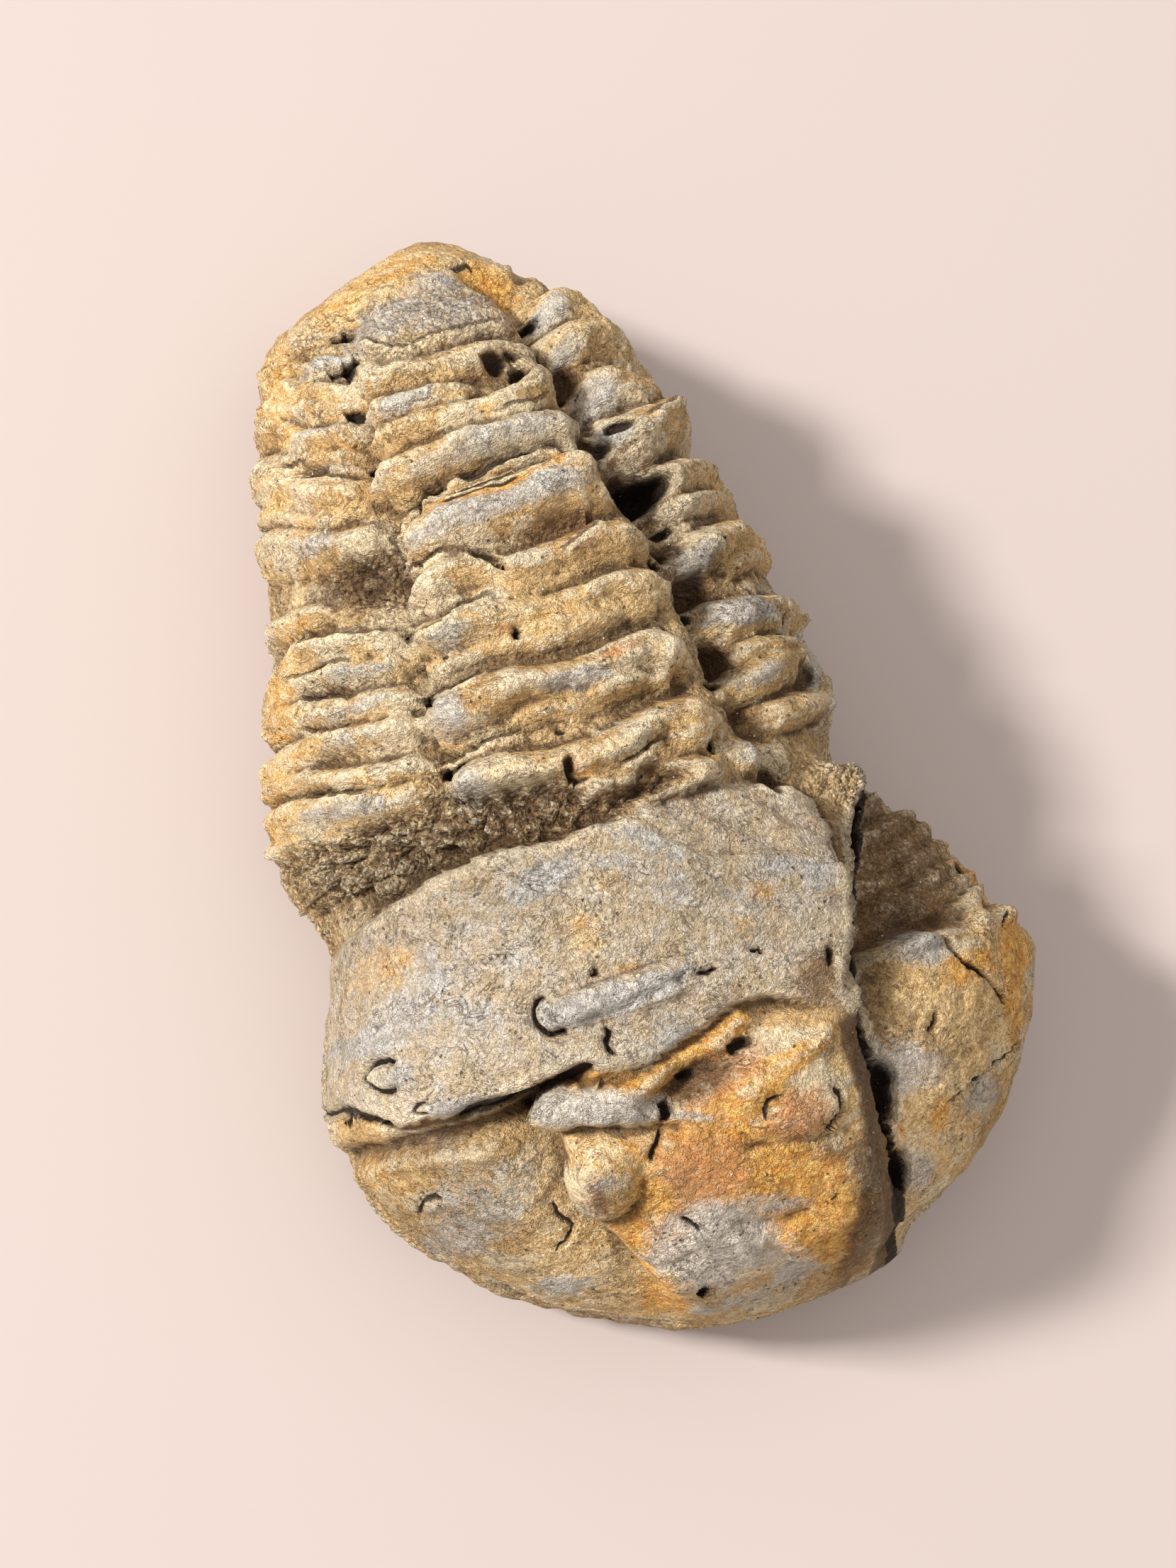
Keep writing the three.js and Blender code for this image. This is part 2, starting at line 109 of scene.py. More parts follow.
# The furrows on both sides of the raised middle lobe
LEFT_FURROW = [
    (-7.5, 35), (-9, 31.7), (-9.6, 27.6), (-10.2, 22), (-10.7, 17), (-11.9, 12), (-12.3, 6.8), (-12.8, 2),
    (-14.5, -4),
]
RIGHT_FURROW = [
    (3.5, 35), (4.8, 31.7), (5.2, 28), (5.6, 22), (6.8, 15.5), (7.8, 11), (8.1, 7.5), (8.3, 2), (8.8, -4),
]
# The raised middle of the head, and the eye knob beside it as an oval
GLABELLA = [
    (-13.4, -23.5), (-13.5, -28), (-12.3, -30.8), (-10.7, -33), (-9.3, -35.5), (-7.5, -38), (-4, -41),
    (3, -43), (14, -42), (14, -22), (-4, -21.5), (-10, -21.5),
]
KNOB = (-11, -27, 2.7, 3, 0)
# The slab over the neck, and the patch of rubble behind it
SLAB = [
    (-30, -7), (-22.3, -6.4), (-18.5, -5.2), (-15, -4.6), (-11.3, -4.5), (-7.7, -5.1), (-3.9, -5),
    (0.6, -4.7), (4.5, -4.8), (7.4, -5.3), (9.6, -5.8), (11.4, -6.7), (11.9, -8.7), (11.8, -9.9),
    (11.4, -11.4), (11, -13.7), (10.5, -15.6), (9.8, -17.4), (8.9, -19.2), (8.1, -20.6), (7.4, -22),
    (5.2, -20.9), (3.2, -20), (1.2, -19.5), (-0.4, -19.7), (-2, -20.2), (-4, -20.7), (-7, -21.1),
    (-9, -21.2), (-12.5, -20.1), (-15.5, -20.3), (-19, -20.4), (-23, -19.4), (-25, -17.6), (-30, -16),
]
RUBBLE = [
    (-13.7, 2.4), (-12.6, 0.5), (-10.2, -0.9), (-6, -1.7), (-4.1, -3.3), (-1.6, -3), (1, -3.1), (1.7, -4.1),
    (0.6, -4.3), (-2.6, -4.8), (-5.4, -5.3), (-8.4, -5.2), (-10.7, -4.8), (-14.3, -4.6), (-17.5, -4.9),
    (-20.8, -5.1), (-21.8, -4.9), (-22.3, -4), (-23.5, -1.5), (-23.7, 0.9), (-22.5, 1.4), (-20.1, 0.4),
    (-17.1, 0.2), (-15.4, 0.1),
]
# The fracture: x, y and how wide it is there
FRACTURE = [
    (70, 2, 0.3), (24, -3, 0.3), (19, -4.2, 0.4), (16, -6, 0.8), (15, -8.6, 1.4), (13.8, -11.1, 1.6),
    (12.8, -13.5, 1.6), (11.9, -15.8, 1.5), (10.5, -18.4, 1.4), (9.3, -20.4, 1), (8.7, -22.8, 0.8),
    (8.7, -25.5, 0.9), (9, -28.3, 1.5), (8.9, -31.2, 1), (9.2, -34, 1.5), (9.5, -37, 1), (10.4, -70, 0.9),
]
# Right of it the stone is lower: y, and the share of its height over the belly that is left
RIB_END_SHARE = [
    (-22, 0.72), (-18, 0.72), (-9, 0.76), (-6, 0.84), (-3, 1),
]
CHEEK_SHARE = [
    (-42, 0.88), (-32, 0.9), (-24, 0.93), (-18, 0.93),
]
# The rear edge of the right cheek
CHEEK_EDGE = [
    (7, -20.8), (8.7, -20.2), (12, -19.2), (16.5, -18.8), (19.5, -19.2), (21.5, -18.5), (24.5, -19.4),
    (29, -20.5),
]
# How much the sides are cut back: y and millimetres
LEFT_TRIM = [
    (41.5, 0.8), (38.5, 0.5), (36.5, 0), (34, 0.9), (31, 1.4), (27, 1.4), (24, 1), (20, 1.1), (16, 0.8),
    (12, 1), (9, 1.3), (7, 0.6), (4.5, 0.2), (2, 0.6), (-2, 0.7), (-4, 0.8), (-6, 0), (-42, 0),
]
RIGHT_TRIM = [
    (41.5, 0), (36, 0.5), (33, 0.2), (30, 1), (27, 1.5), (24, 1.8), (20, 1.5), (15, 1.9), (11, 1.3),
    (9, 0.7), (5, 1), (3, 0.2), (0, -0.3), (-2.5, 0), (-4.5, 0.8), (-6, 0.9), (-9, 0.4), (-14, 0.25),
    (-17, 0.1), (-20.4, 0.4), (-22, 0.1), (-26, 0.2), (-29, -0.4), (-32, -0.3), (-36, 0.1), (-38.4, 0.8),
    (-39.3, 0.5), (-39.9, 0), (-42, 0),
]

# Rings of the middle lobe from the tail to the slab: a path along the crest, half-width, height
RINGS = [
    ([(-8.3, 29.9), (-6.1, 29.1), (-2.5, 28.5), (1.2, 28.3)], 1, 0.7),
    ([(-8.7, 27.7), (-6.4, 27), (-3.8, 26.5), (-2.3, 26.3)], 1, 0.7),
    ([(-9.1, 25.6), (-7.5, 25.2), (-5, 24.8), (-2.1, 24.3), (0.9, 24.7), (3.2, 25.6)], 1.35, 0.9),
    ([(-10, 22.6), (-7.9, 22.5), (-5, 22.4), (-2.5, 22.2), (0, 22), (3.4, 22)], 1.7, 1.1),
    ([(-9.6, 16.9), (-7.6, 17.4), (-4.6, 17.6), (-1.5, 17.7), (1.6, 17.7), (3.3, 16.7)], 2.3, 1.5),
    ([(-10.6, 13.7), (-9, 14.1), (-6.7, 14.1), (-4, 12.8), (-0.6, 13), (2.2, 13.5), (4.6, 12.7)],
      1.8, 1.05),
    ([(-11.5, 10.7), (-10, 10.5), (-6.9, 10.4), (-3.3, 9.6), (-0.1, 9.5), (2.3, 9.8), (4.9, 9.2)],
      1.85, 1.1),
    ([(-12.2, 5.7), (-11, 5.4), (-8.6, 5.6), (-5.6, 5.2), (-2.7, 4.7), (0.1, 4.8), (2.5, 5.1), (4.6, 4.1)],
      1.9, 1.15),
    ([(-12.8, 0.5), (-11.9, 0.3), (-9.5, 0.3), (-6.9, -0.5), (-4, -0.8), (-1.3, -0.7), (1.9, 0),
      (4.8, -0.2)], 2, 1.2),
    ([(-4.9, -2.8), (-2.1, -3.1), (1, -3.3), (3.6, -3.9)], 1.4, 0.7),
]
# Ribs of the left side
LEFT_RIBS = [
    ([(-12.4, 34.6), (-10.7, 33), (-7.8, 32.1)], 0.9, 0.5),
    ([(-13.2, 33.8), (-11.5, 31.2), (-8.8, 30)], 1, 0.5),
    ([(-14.2, 32.6), (-12.9, 31), (-10.8, 29.3), (-9.3, 29.1)], 1, 0.6),
    ([(-14.5, 30.9), (-13.4, 28.1), (-10.3, 27.2)], 1, 0.6),
    ([(-15.7, 28.6), (-13.8, 26.8), (-10.9, 25.6)], 0.6, 0.35),
    ([(-16.1, 28.3), (-15.2, 25.4), (-13, 23.2), (-11.2, 22.7)], 1.3, 0.75),
    ([(-16.8, 25), (-15.3, 22.8), (-13.3, 21.5)], 0.6, 0.35),
    ([(-17.9, 23.2), (-16.4, 21.7), (-14.2, 19.8), (-11.5, 19.1)], 1.4, 0.7),
    ([(-17.5, 21), (-15.8, 19.5), (-14.7, 18.5)], 0.8, 0.35),
    ([(-19.2, 17.2), (-18.2, 16.9), (-16.5, 16)], 0.9, 0.35),
    ([(-19.5, 13.5), (-18.6, 14.1), (-17.3, 13.5), (-15.1, 12.6), (-12.8, 11.3)], 1.2, 0.7),
    ([(-19.9, 12.2), (-18.3, 11.7), (-15.7, 10.7), (-13, 10)], 0.9, 0.55),
    ([(-20.4, 10.5), (-18.9, 9.3), (-16.3, 8.3), (-13.4, 7.6)], 1.2, 0.6),
    ([(-21.5, 7.7), (-19.4, 7.5), (-17, 6.4), (-13.6, 5.7)], 1.3, 0.8),
    ([(-21.5, 5.9), (-18.6, 4.2), (-15.9, 3.3), (-14, 3)], 0.8, 0.45),
    ([(-21.9, 3.4), (-19.1, 2.2), (-16.5, 1.5), (-14.2, 0.9)], 1.35, 0.8),
    ([(-22, 1.2), (-20.4, 0.4)], 1, 0.5),
]
# Grooves between them: a path, half-width, depth
LEFT_GROOVES = [
    ([(-12.7, 34.2), (-10.3, 31.9), (-7.8, 31.2)], 0.45, 0.35),
    ([(-14.5, 31.3), (-12.3, 29.4), (-9.9, 28.2)], 0.4, 0.35),
    ([(-15, 30.2), (-12.8, 26.9)], 0.25, 0.2),
    ([(-16.5, 25.7), (-14.2, 22.9), (-11.3, 21.5)], 0.55, 0.45),
    ([(-17.7, 22.1), (-15.5, 20.2), (-13.4, 18.5)], 0.5, 0.35),
    ([(-19.9, 11.4), (-17.4, 10.4), (-15, 9.8), (-13.2, 9.5)], 0.5, 0.5),
    ([(-19, 13.9), (-17.1, 12.7), (-13.7, 11)], 0.3, 0.25),
    ([(-20.9, 6.4), (-18.6, 5.7), (-15.7, 5), (-13.9, 4.8)], 0.55, 0.55),
    ([(-21.9, 2.2), (-18.3, 0.6), (-16, 0.2)], 0.5, 0.5),
    ([(-20.2, 9.4), (-17.2, 7.5), (-14.4, 6.9)], 0.3, 0.2),
    ([(-21.6, 4.8), (-18, 3)], 0.3, 0.2),
]
# Ribs of the right side
RIGHT_RIBS = [
    ([(6.4, 32.2), (8.7, 31.9), (10.1, 29.9)], 1.3, 0.9),
    ([(5.3, 29.2), (7.7, 28.9), (10.5, 28.8), (12, 27.5)], 1.5, 1.1),
    ([(6.2, 25), (8.6, 24.7), (10.3, 23.8), (12.3, 23.1)], 1.6, 1.1),
    ([(6.1, 20.9), (8.1, 20.4), (10.6, 21.1), (13.8, 22.2)], 1.9, 1.6),
    ([(8.7, 16.7), (10.6, 16.8), (14.3, 17), (15.5, 16.3)], 1.4, 1.2),
    ([(8.8, 14.8), (11.2, 14.7), (16.3, 15.7)], 0.9, 0.8),
    ([(8, 10.6), (10.5, 11.4), (13.7, 11.8), (17.4, 11.9)], 1.5, 1.1),
    ([(11.8, 9.9), (17.1, 10.6)], 0.9, 0.8),
    ([(8.8, 6.9), (11, 6.1), (14.5, 5.8)], 1.4, 1.1),
    ([(8.6, 5.7), (11.3, 5.7), (13.8, 5.3)], 1.4, 1.1),
    ([(9.6, 3.5), (11.6, 3.4), (14.2, 3.1)], 1.1, 0.9),
    ([(8.1, 1.1), (10.6, 1.6), (14.5, 2.3)], 1.4, 1.3),
    ([(9.7, -1.5), (11.5, -1.4), (13.6, -1.2)], 1.2, 1),
]
# Grooves between the rings
RING_GROOVES = [
    ([(-7.5, 32), (-5.3, 30.7), (-2.4, 30.7), (1.2, 30.8), (3.7, 29.8)], 0.8, 0.8),
    ([(-6.9, 28.6), (-3.7, 27.9), (-1.8, 27.4)], 0.4, 0.3),
    ([(-9.5, 25.1), (-7.3, 24.2), (-4.5, 23.6), (-1.6, 23.2)], 0.5, 0.4),
    ([(-8.6, 20.7), (-5.5, 20.3), (-2.9, 20.7), (0.1, 20.6), (3, 20.3)], 0.8, 1),
    ([(-10, 16.1), (-7.4, 15.4), (-4.4, 15.5), (-0.8, 15.3), (2.9, 15.2)], 0.8, 0.8),
    ([(-11.2, 13.2), (-8.3, 12.8), (-5.6, 12.4), (-2.9, 11.9), (-0.3, 12.1), (1.9, 12.4)], 0.6, 0.6),
    ([(-12.2, 10.1), (-10, 9.3), (-7.2, 9.2), (-4.6, 8.9), (-2.1, 9.4), (0.3, 8.9), (2.6, 8.9)], 0.6, 0.8),
    ([(-12.2, 3.7), (-9.3, 3.6), (-6.5, 4), (-4.6, 3.9), (-1.6, 3.9), (1, 4), (3.3, 3.3)], 0.6, 0.9),
    ([(-10.6, -0.7), (-6.9, -1.3), (-4.6, -1.8), (-2.2, -1.9), (1.1, -1.2), (2.6, -1.4)], 0.6, 0.9),
]
# Thin flakes that stand on the edges of the rings and ribs
FLAKES = [
    ([(-7.5, 34.1), (-5.6, 31.4), (-2.8, 31.5), (0.4, 31.4), (3.5, 31.5)], 0.35, 0.35),
    ([(-8.4, 19.4), (-6.7, 19.9), (-4.5, 20.3), (-1.6, 20.3), (1.2, 20.1), (2.3, 19), (3.8, 18.1)],
      0.45, 1),
    ([(-6.8, 19.3), (-4.1, 18.7), (-1.3, 18.9), (1.5, 19.2)], 0.22, 0.35),
    ([(-0.9, 23.4), (0.7, 23.5), (3, 23.9)], 0.3, 0.35),
    ([(-10.7, 15.8), (-9.3, 15.6), (-7.4, 15.4)], 0.25, 0.35),
    ([(-9.3, 20), (-7.9, 19.7), (-6.8, 19.7)], 0.3, 0.45),
    ([(-10.5, 17.2), (-10.6, 18.5), (-9.4, 19.9)], 0.3, 0.4),
    ([(-0.9, 12.7), (0.8, 13.4), (2.8, 14.4)], 0.45, 0.45),
    ([(-9.8, 11.3), (-7.7, 11.6), (-5.3, 11.8)], 0.25, 0.35),
    ([(-0.4, 10.1), (2, 10.5), (3.2, 10.6)], 0.35, 0.35),
    ([(-12.5, 11.4), (-11.1, 11), (-9.2, 10.9), (-7.5, 11.4)], 0.25, 0.35),
    ([(-13.1, 6.9), (-11.2, 7), (-9.6, 6.8), (-7.8, 7.2)], 0.25, 0.4),
    ([(-1.9, 5.9), (0.6, 6), (3.7, 6.5), (4.3, 5.8)], 0.35, 0.4),
    ([(-13.7, 2.4), (-11.2, 2.5), (-9, 2.4), (-7, 2.3)], 0.25, 0.4),
    ([(-2.2, -2), (-0.5, -1.7), (1.4, -1.1)], 0.22, 0.4),
    ([(8.5, 20.8), (10.9, 21.7), (13.4, 22.4)], 0.3, 0.4),
    ([(-18.1, 15.6), (-17.8, 14.4), (-16.2, 13.6), (-12.7, 12.2)], 0.2, 0.3),
    ([(-19.8, 12.6), (-18, 12), (-15.4, 11.3)], 0.18, 0.25),
    ([(-20.2, 11.3), (-18.6, 10.2), (-16.3, 8.9)], 0.15, 0.2),
    ([(-20.5, 9.1), (-19.1, 7.9), (-16.6, 6.8)], 0.15, 0.2),
    ([(-21.5, 4.4), (-19.2, 3), (-17.1, 2.3)], 0.15, 0.2),
    ([(-15.8, 27.6), (-13.5, 26.1)], 0.15, 0.2),
    ([(-16, 26.9), (-14.5, 25.6), (-11.5, 23.7)], 0.15, 0.2),
]
# Fine cracks: a path, half-width, depth
CRACKS = [
    ([(-6.1, 20.5), (-7.9, 19.9), (-9.5, 18.3), (-10, 17.7), (-10.2, 16.7)], 0.28, 1.3),
    ([(-11.8, -14.7), (-12.5, -14.9), (-13, -15.6), (-13.1, -16.4), (-12.8, -17), (-12.4, -17.3),
      (-11.2, -17.4)], 0.2, 0.9),
    ([(-8.7, -17.9), (-8.7, -18.7), (-9.1, -19.3), (-8.7, -20.1)], 0.2, 0.9),
    ([(-1.9, -16.6), (-0.7, -16.8), (-0.3, -16.6)], 0.18, 0.6),
    ([(-21.7, -15.4), (-22.2, -15), (-22.7, -14.9), (-23.2, -15), (-23.7, -15.5), (-23.7, -16.1),
      (-23.3, -16.6), (-22.8, -17), (-22.1, -17.1)], 0.2, 0.8),
    ([(-21, -18.9), (-21.5, -18.7), (-21.9, -18.9), (-21.7, -19.3), (-21, -19.7)], 0.16, 0.6),
    ([(-6.9, -25.5), (-7.6, -26.2), (-8.2, -26.9)], 0.2, 0.8),
    ([(-15.4, -28.8), (-15.3, -29.6), (-14.5, -31), (-15.3, -31.5), (-15.6, -31.8)], 0.13, 0.5),
    ([(-7.2, -30.8), (-6.6, -31.2), (-6, -32)], 0.16, 0.6),
    ([(1, -25.3), (-0.1, -25.6), (-0.2, -26.9)], 0.15, 0.45),
    ([(4.6, -26), (4.9, -27.4), (3.7, -28.5), (4.3, -28)], 0.17, 0.5),
    ([(-22.9, -25.9), (-22.5, -24.9), (-21.7, -24.9), (-21.1, -25.4)], 0.14, 0.4),
    ([(17.2, -19.3), (18, -21.1), (19.4, -23), (20.8, -24.7), (21.4, -25.9)], 0.18, 0.8),
    ([(14.9, -24.3), (14.7, -24.6), (14.6, -25.1), (14.1, -25.4), (13.9, -25.8)], 0.2, 0.6),
    ([(7.9, -17.9), (7.7, -18.1), (7.6, -18.6), (7, -19.1)], 0.2, 0.6),
    ([(24.2, -19.4), (23.6, -19.9), (23.5, -20.6)], 0.18, 0.5),
    ([(-18.3, 15.9), (-18.4, 15.7), (-19.1, 14.1)], 0.16, 0.5),
    ([(10.2, 11.8), (11.4, 10.8)], 0.13, 0.5),
    ([(-6.8, 18.8), (-4, 18.4), (-1.5, 18.4)], 0.13, 0.3),
    ([(-5.1, 2.1), (-4.8, 1.6), (-4.3, 1.4)], 0.12, 0.4),
    ([(-10.6, 8.9), (-9.5, 8.7)], 0.12, 0.3),
    ([(-0.3, 37.9), (0.4, 37.1), (1.7, 37.3), (2.9, 37.4), (3.1, 36.8)], 0.16, 0.4),
    ([(3.7, -32.6), (3.3, -33), (2.7, -33.2)], 0.12, 0.3),
    ([(12.8, 8), (13.8, 6.4)], 0.12, 0.4),
    ([(-25.5, -16.8), (-24.4, -18.3), (-23.3, -19.5)], 0.2, 0.5),
    ([(24, -26.3), (22.6, -27.9), (21.5, -28.8), (19, -29.5), (16, -30.4), (14.1, -30.8)], 0.16, 0.7),
    ([(-10.1, -20.2), (-14, -20.5), (-16.7, -20.5), (-18.6, -20.3), (-19.7, -20.7)], 0.34, 1.2),
    ([(-27.1, -16.1), (-25.6, -17.1), (-25.5, -18.1)], 0.15, 0.4),
    ([(-5, 20.4), (-3, 20.2), (-1.6, 20.4), (0.1, 20.6)], 0.25, 0.8),
]
# Ends of the ribs right of the fracture
RIB_ENDS = [
    ([(13.9, -9.9), (16.5, -9.4), (17.8, -9.3)], 0.7, 0.6),
    ([(13.2, -11.7), (16.2, -11.3), (18.8, -10.8), (20.7, -10.6)], 0.9, 0.9),
    ([(14, -13), (16.8, -13), (19.8, -12.2), (21.5, -11.7)], 0.9, 0.9),
    ([(13.4, -14.7), (16.4, -14.5), (19.4, -13.7), (22.4, -13.5)], 0.8, 0.8),
    ([(14.1, -16.2), (17.2, -16.1), (20.3, -15.3), (22.6, -15)], 0.8, 0.8),
    ([(16.3, -17.6), (19.1, -16.9), (21.6, -16.3), (23.5, -16.3)], 0.8, 0.8),
    ([(18.5, -18.6), (21, -17.9), (23.5, -17.4)], 0.7, 0.8),
]
# Bulging ends of the rings: x, y, half-length, half-width, turn, height
RING_BULBS = [
    (3.3, 21.8, 1.7, 1.6, 0, 0.5), (4.6, 12.6, 1.6, 1.7, 0, 0.9), (4.9, 9.2, 1.5, 1.6, 0, 0.8),
    (4.8, 4.1, 1.7, 1.5, 0, 0.8), (4.8, -0.3, 2, 1.7, 0, 0.9), (3.6, -3.9, 1.8, 1.3, 0, 1.3),
    (-9.5, 13.9, 1.7, 1.1, 10, 0.5), (-9.4, 10.3, 1.5, 1.1, 0, 0.5), (-10.8, 5.4, 1.6, 1.2, 0, 0.6),
    (-11.8, 0.2, 1.7, 1.2, 0, 0.6), (2.9, 25.6, 1.3, 1.6, 0, 0.8),
]
# Bulging ends of the right ribs
RIB_BULBS = [
    (8.8, 10.3, 1.6, 1.4, 10, 0.7), (15.3, 6.7, 1.3, 1.2, 0, 0.6), (6.7, 23.7, 1.4, 1.2, 20, 0.5),
    (6.6, 28.1, 1.3, 1.1, 0, 0.4), (8.7, -3.7, 2.1, 1.6, 0, 2.6), (9.7, 6.1, 1.5, 1.4, 0, 0.6),
    (13.3, 21.9, 1, 1.2, 30, 0.5), (3.7, -4.2, 1.9, 1.4, 0, 0.8),
]
# Pits and holes: x, y, half-length, half-width, turn, depth
PITS = [
    (-8.2, 34.6, 0.87, 0.23, 8, 0.9), (-8.5, 31.7, 0.86, 0.3, 5, 1.1), (-9.6, 31.8, 0.55, 0.18, -7, 0.6),
    (-9.7, 28.1, 0.6, 0.35, -7, 0.8), (-10.2, 23.9, 0.59, 0.38, -17, 0.9),
    (5.3, 31.8, 0.97, 0.42, -17, 0.9), (4.8, 28, 0.65, 0.63, -59, 1.2), (6.1, 26.2, 0.86, 1.14, -27, 0.9),
    (5.4, 25, 0.41, 0.3, 3, 0.8), (1.8, 26.4, 0.69, 0.62, -38, 1.5), (0.2, 27.6, 0.84, 0.56, -17, 0.7),
    (1.4, 27.9, 0.61, 0.35, 13, 0.6), (5.1, 20.5, 1.24, 0.77, -27, 1.2), (7.1, 21, 0.75, 0.51, -17, 0.8),
    (7.6, 16.6, 1.51, 1.14, -30, 3.4), (7.1, 17.6, 0.75, 0.67, -38, 1.4), (7.1, 11.9, 1.05, 0.66, -28, 0.9),
    (8.6, 13.3, 0.55, 0.31, -33, 0.8), (6, 10.8, 0.65, 0.35, -18, 0.9), (8.8, 8.8, 1.2, 1.07, -33, 1.2),
    (7.5, 7.4, 1, 0.51, -28, 0.8), (9.1, 8.8, 1.14, 1.02, -38, 1.2), (8.5, 3.5, 1.2, 1.06, -28, 1.2),
    (7.3, 6.5, 0.5, 0.35, -18, 0.9), (4.1, 5, 0.24, 0.24, -18, 0.6), (5.7, 5.4, 0.2, 0.15, -18, 0.5),
    (14.9, 1.1, 1.38, 0.94, -28, 1.1), (4.6, -2.5, 0.44, 0.39, -18, 0.9), (7.4, 1.8, 0.75, 0.3, -18, 0.8),
    (1.8, 0.8, 0.34, 0.19, -18, 0.6), (13.8, 4.6, 0.46, 0.35, -18, 0.7), (9.2, -5.6, 0.85, 0.99, -18, 1),
    (-11.7, 11.3, 0.58, 0.29, -18, 0.8), (-11.9, 6.7, 0.58, 0.34, -18, 0.9),
    (-11.6, 1.9, 0.63, 0.22, 19, 0.7), (-12.8, 1.8, 0.58, 0.38, 2, 0.8), (-5.2, 8.6, 0.22, 0.48, -18, 0.6),
    (-7.4, -2.4, 0.29, 0.19, -18, 0.3), (-5.1, -1.1, 0.34, 0.81, -8, 0.8),
    (-4.8, -1.9, 0.48, 0.24, -18, 0.6), (-5.2, 8.6, 0.29, 0.48, -8, 0.7), (-5.3, 14.2, 1.2, 0.39, -38, 0.5),
    (-4.8, 13.2, 0.71, 0.25, -48, 0.6), (-11.7, 11, 0.58, 0.24, -18, 0.6),
    (-8.1, -14.5, 0.28, 0.26, -19, 0.6), (2.7, -16.6, 0.48, 0.24, -34, 0.6),
    (7.7, -18.4, 0.24, 0.38, -29, 0.5), (-0.4, -16.7, 0.53, 0.21, 1, 0.5),
    (-6.4, -24.3, 0.38, 0.61, -29, 0.9), (-4.3, -22.8, 0.73, 0.28, 0, 0.7),
    (-0.3, -21.9, 0.83, 0.38, -4, 0.7), (-6.2, -36.4, 0.34, 0.58, 9, 0.9),
    (-25.6, -18, 0.25, 0.4, -19, 0.6), (-15.7, -21.9, 0.29, 0.24, -19, 0.5),
    (-14.8, -22.2, 0.24, 0.24, -19, 0.5), (21.8, -15.6, 0.47, 0.36, -18, 0.6),
    (9.5, -28.2, 0.86, 2.05, -3, 2.4), (9.5, -33.9, 0.72, 1.63, -3, 2.4),
]
# Swellings of the head and the right cheek
LOBES = [
    (2.2, -26.6, 3.64, 2.57, -14, 1), (-6.5, -27.6, 3.84, 2.1, -19, 0.3),
    (-4.9, -32.5, 3.63, 1.88, -29, 0.5), (-1.4, -30.6, 2.68, 1.29, -15, 0.35),
    (3.5, -35, 1.97, 2.65, -39, 0.5), (-21.9, -25.4, 1.1, 0.67, -10, 0.45),
    (-19.3, -28.3, 5.89, 3.61, 0, 0.3), (-8.2, -34.8, 2.92, 1.43, -39, 0.3),
    (24.4, -19.3, 1.11, 0.87, -19, 1.2), (21.3, -19.7, 0.88, 0.75, -19, 0.7),
    (10.7, -21.1, 1.44, 2.12, -34, -1.3), (14.8, -19.3, 2.79, 0.63, -7, 0.6),
]
# Ends of small burrows that show in the slab
BURROW_ENDS = [
    (-22.1, -16.3, 1.81, 0.85, -13, 0.5), (-21.1, -19.3, 0.71, 0.47, -19, 0.45),
]
# Broad hollows of the tail and the trunk: depth comes last
HOLLOWS = [
    (3.7, 35.4, 2.42, 1.27, -32, 1.1), (2.5, 30.5, 2.79, 0.66, -9, 0.8), (6.7, 35.9, 0.62, 1.08, -37, 0.9),
    (-13.1, 16.4, 2.96, 1.75, -18, 1.4), (-1.3, 30.7, 3.8, 0.45, -1, 0.4),
    (0.5, 37.3, 1.79, 0.42, -12, 0.25), (-19.1, -1.2, 2.58, 1.35, -8, 1.4),
    (-17.2, -3, 1.69, 0.73, -29, 1.35), (-16.7, 19.9, 1.52, 0.78, -18, 0.4),
]

# The step where the slab's top layer has flaked away
SLAB_STEP = [
    (-2.6, -5.4), (-1.8, -6.4), (-1.1, -7.3), (-0.2, -8.1), (1.2, -9.4), (2.5, -9.9), (4.7, -10.4),
    (7.5, -11.4), (9.7, -12.4),
]
# The burrow that lies on the slab, and the groove in front of it
BURROW = [(-11.5, -16.4), (-8.6, -16.3), (-6.1, -16.4), (-2.9, -16.4)]
BURROW_GROOVE = [(-12.3, -17.2), (-9.7, -17.2), (-7.5, -17.1), (-4.9, -16.8), (-2.7, -16.5)]
# Crests along the rear of the head: a path, height
HEAD_CRESTS = [
    ([(-12, -20.4), (-9.8, -21.2), (-7.7, -22), (-5.3, -21.8), (-2.8, -21.4), (-0.8, -20.6), (1.2, -19.9)],
      1.1),
    ([(-2.6, -24.9), (-1.1, -24.4), (1.7, -23.6), (4, -23.1), (6.3, -22.6)], 0.9),
]
# The trough between them, and grooves and a crease on the glabella: a path, half-width, depth
HEAD_GROOVES = [
    ([(-6.1, -23.6), (-3.9, -23), (-0.4, -22), (1.8, -21)], 0.8, 1),
    ([(-2.5, -28.1), (0.3, -28.5), (4, -29.2), (5.8, -29.4)], 0.4, 0.45),
    ([(-4, -31.9), (-2.4, -33), (0.2, -33.5), (2, -33.4)], 0.4, 0.45),
    ([(-10.3, -33.1), (-8.3, -33.7), (-6.4, -33.5)], 0.35, 0.35),
]
# The piece of neck ring that shows, and the furrow in front of it
NECK_RING = [(-13.9, -21.7), (-12.1, -22), (-9.3, -22.8), (-8, -23.4)]
NECK_FURROW = [(-14.5, -23), (-12, -23.7), (-8.5, -24.9), (-5.1, -25.7)]
# The furrow between the left cheek and the glabella
HEAD_FURROW = [
    (-14.4, -21.9), (-14.3, -25.1), (-14.1, -27.1), (-13.6, -29.3), (-12.3, -31.8), (-10.9, -34.3),
    (-9.4, -36.7), (-8, -38.4),
]
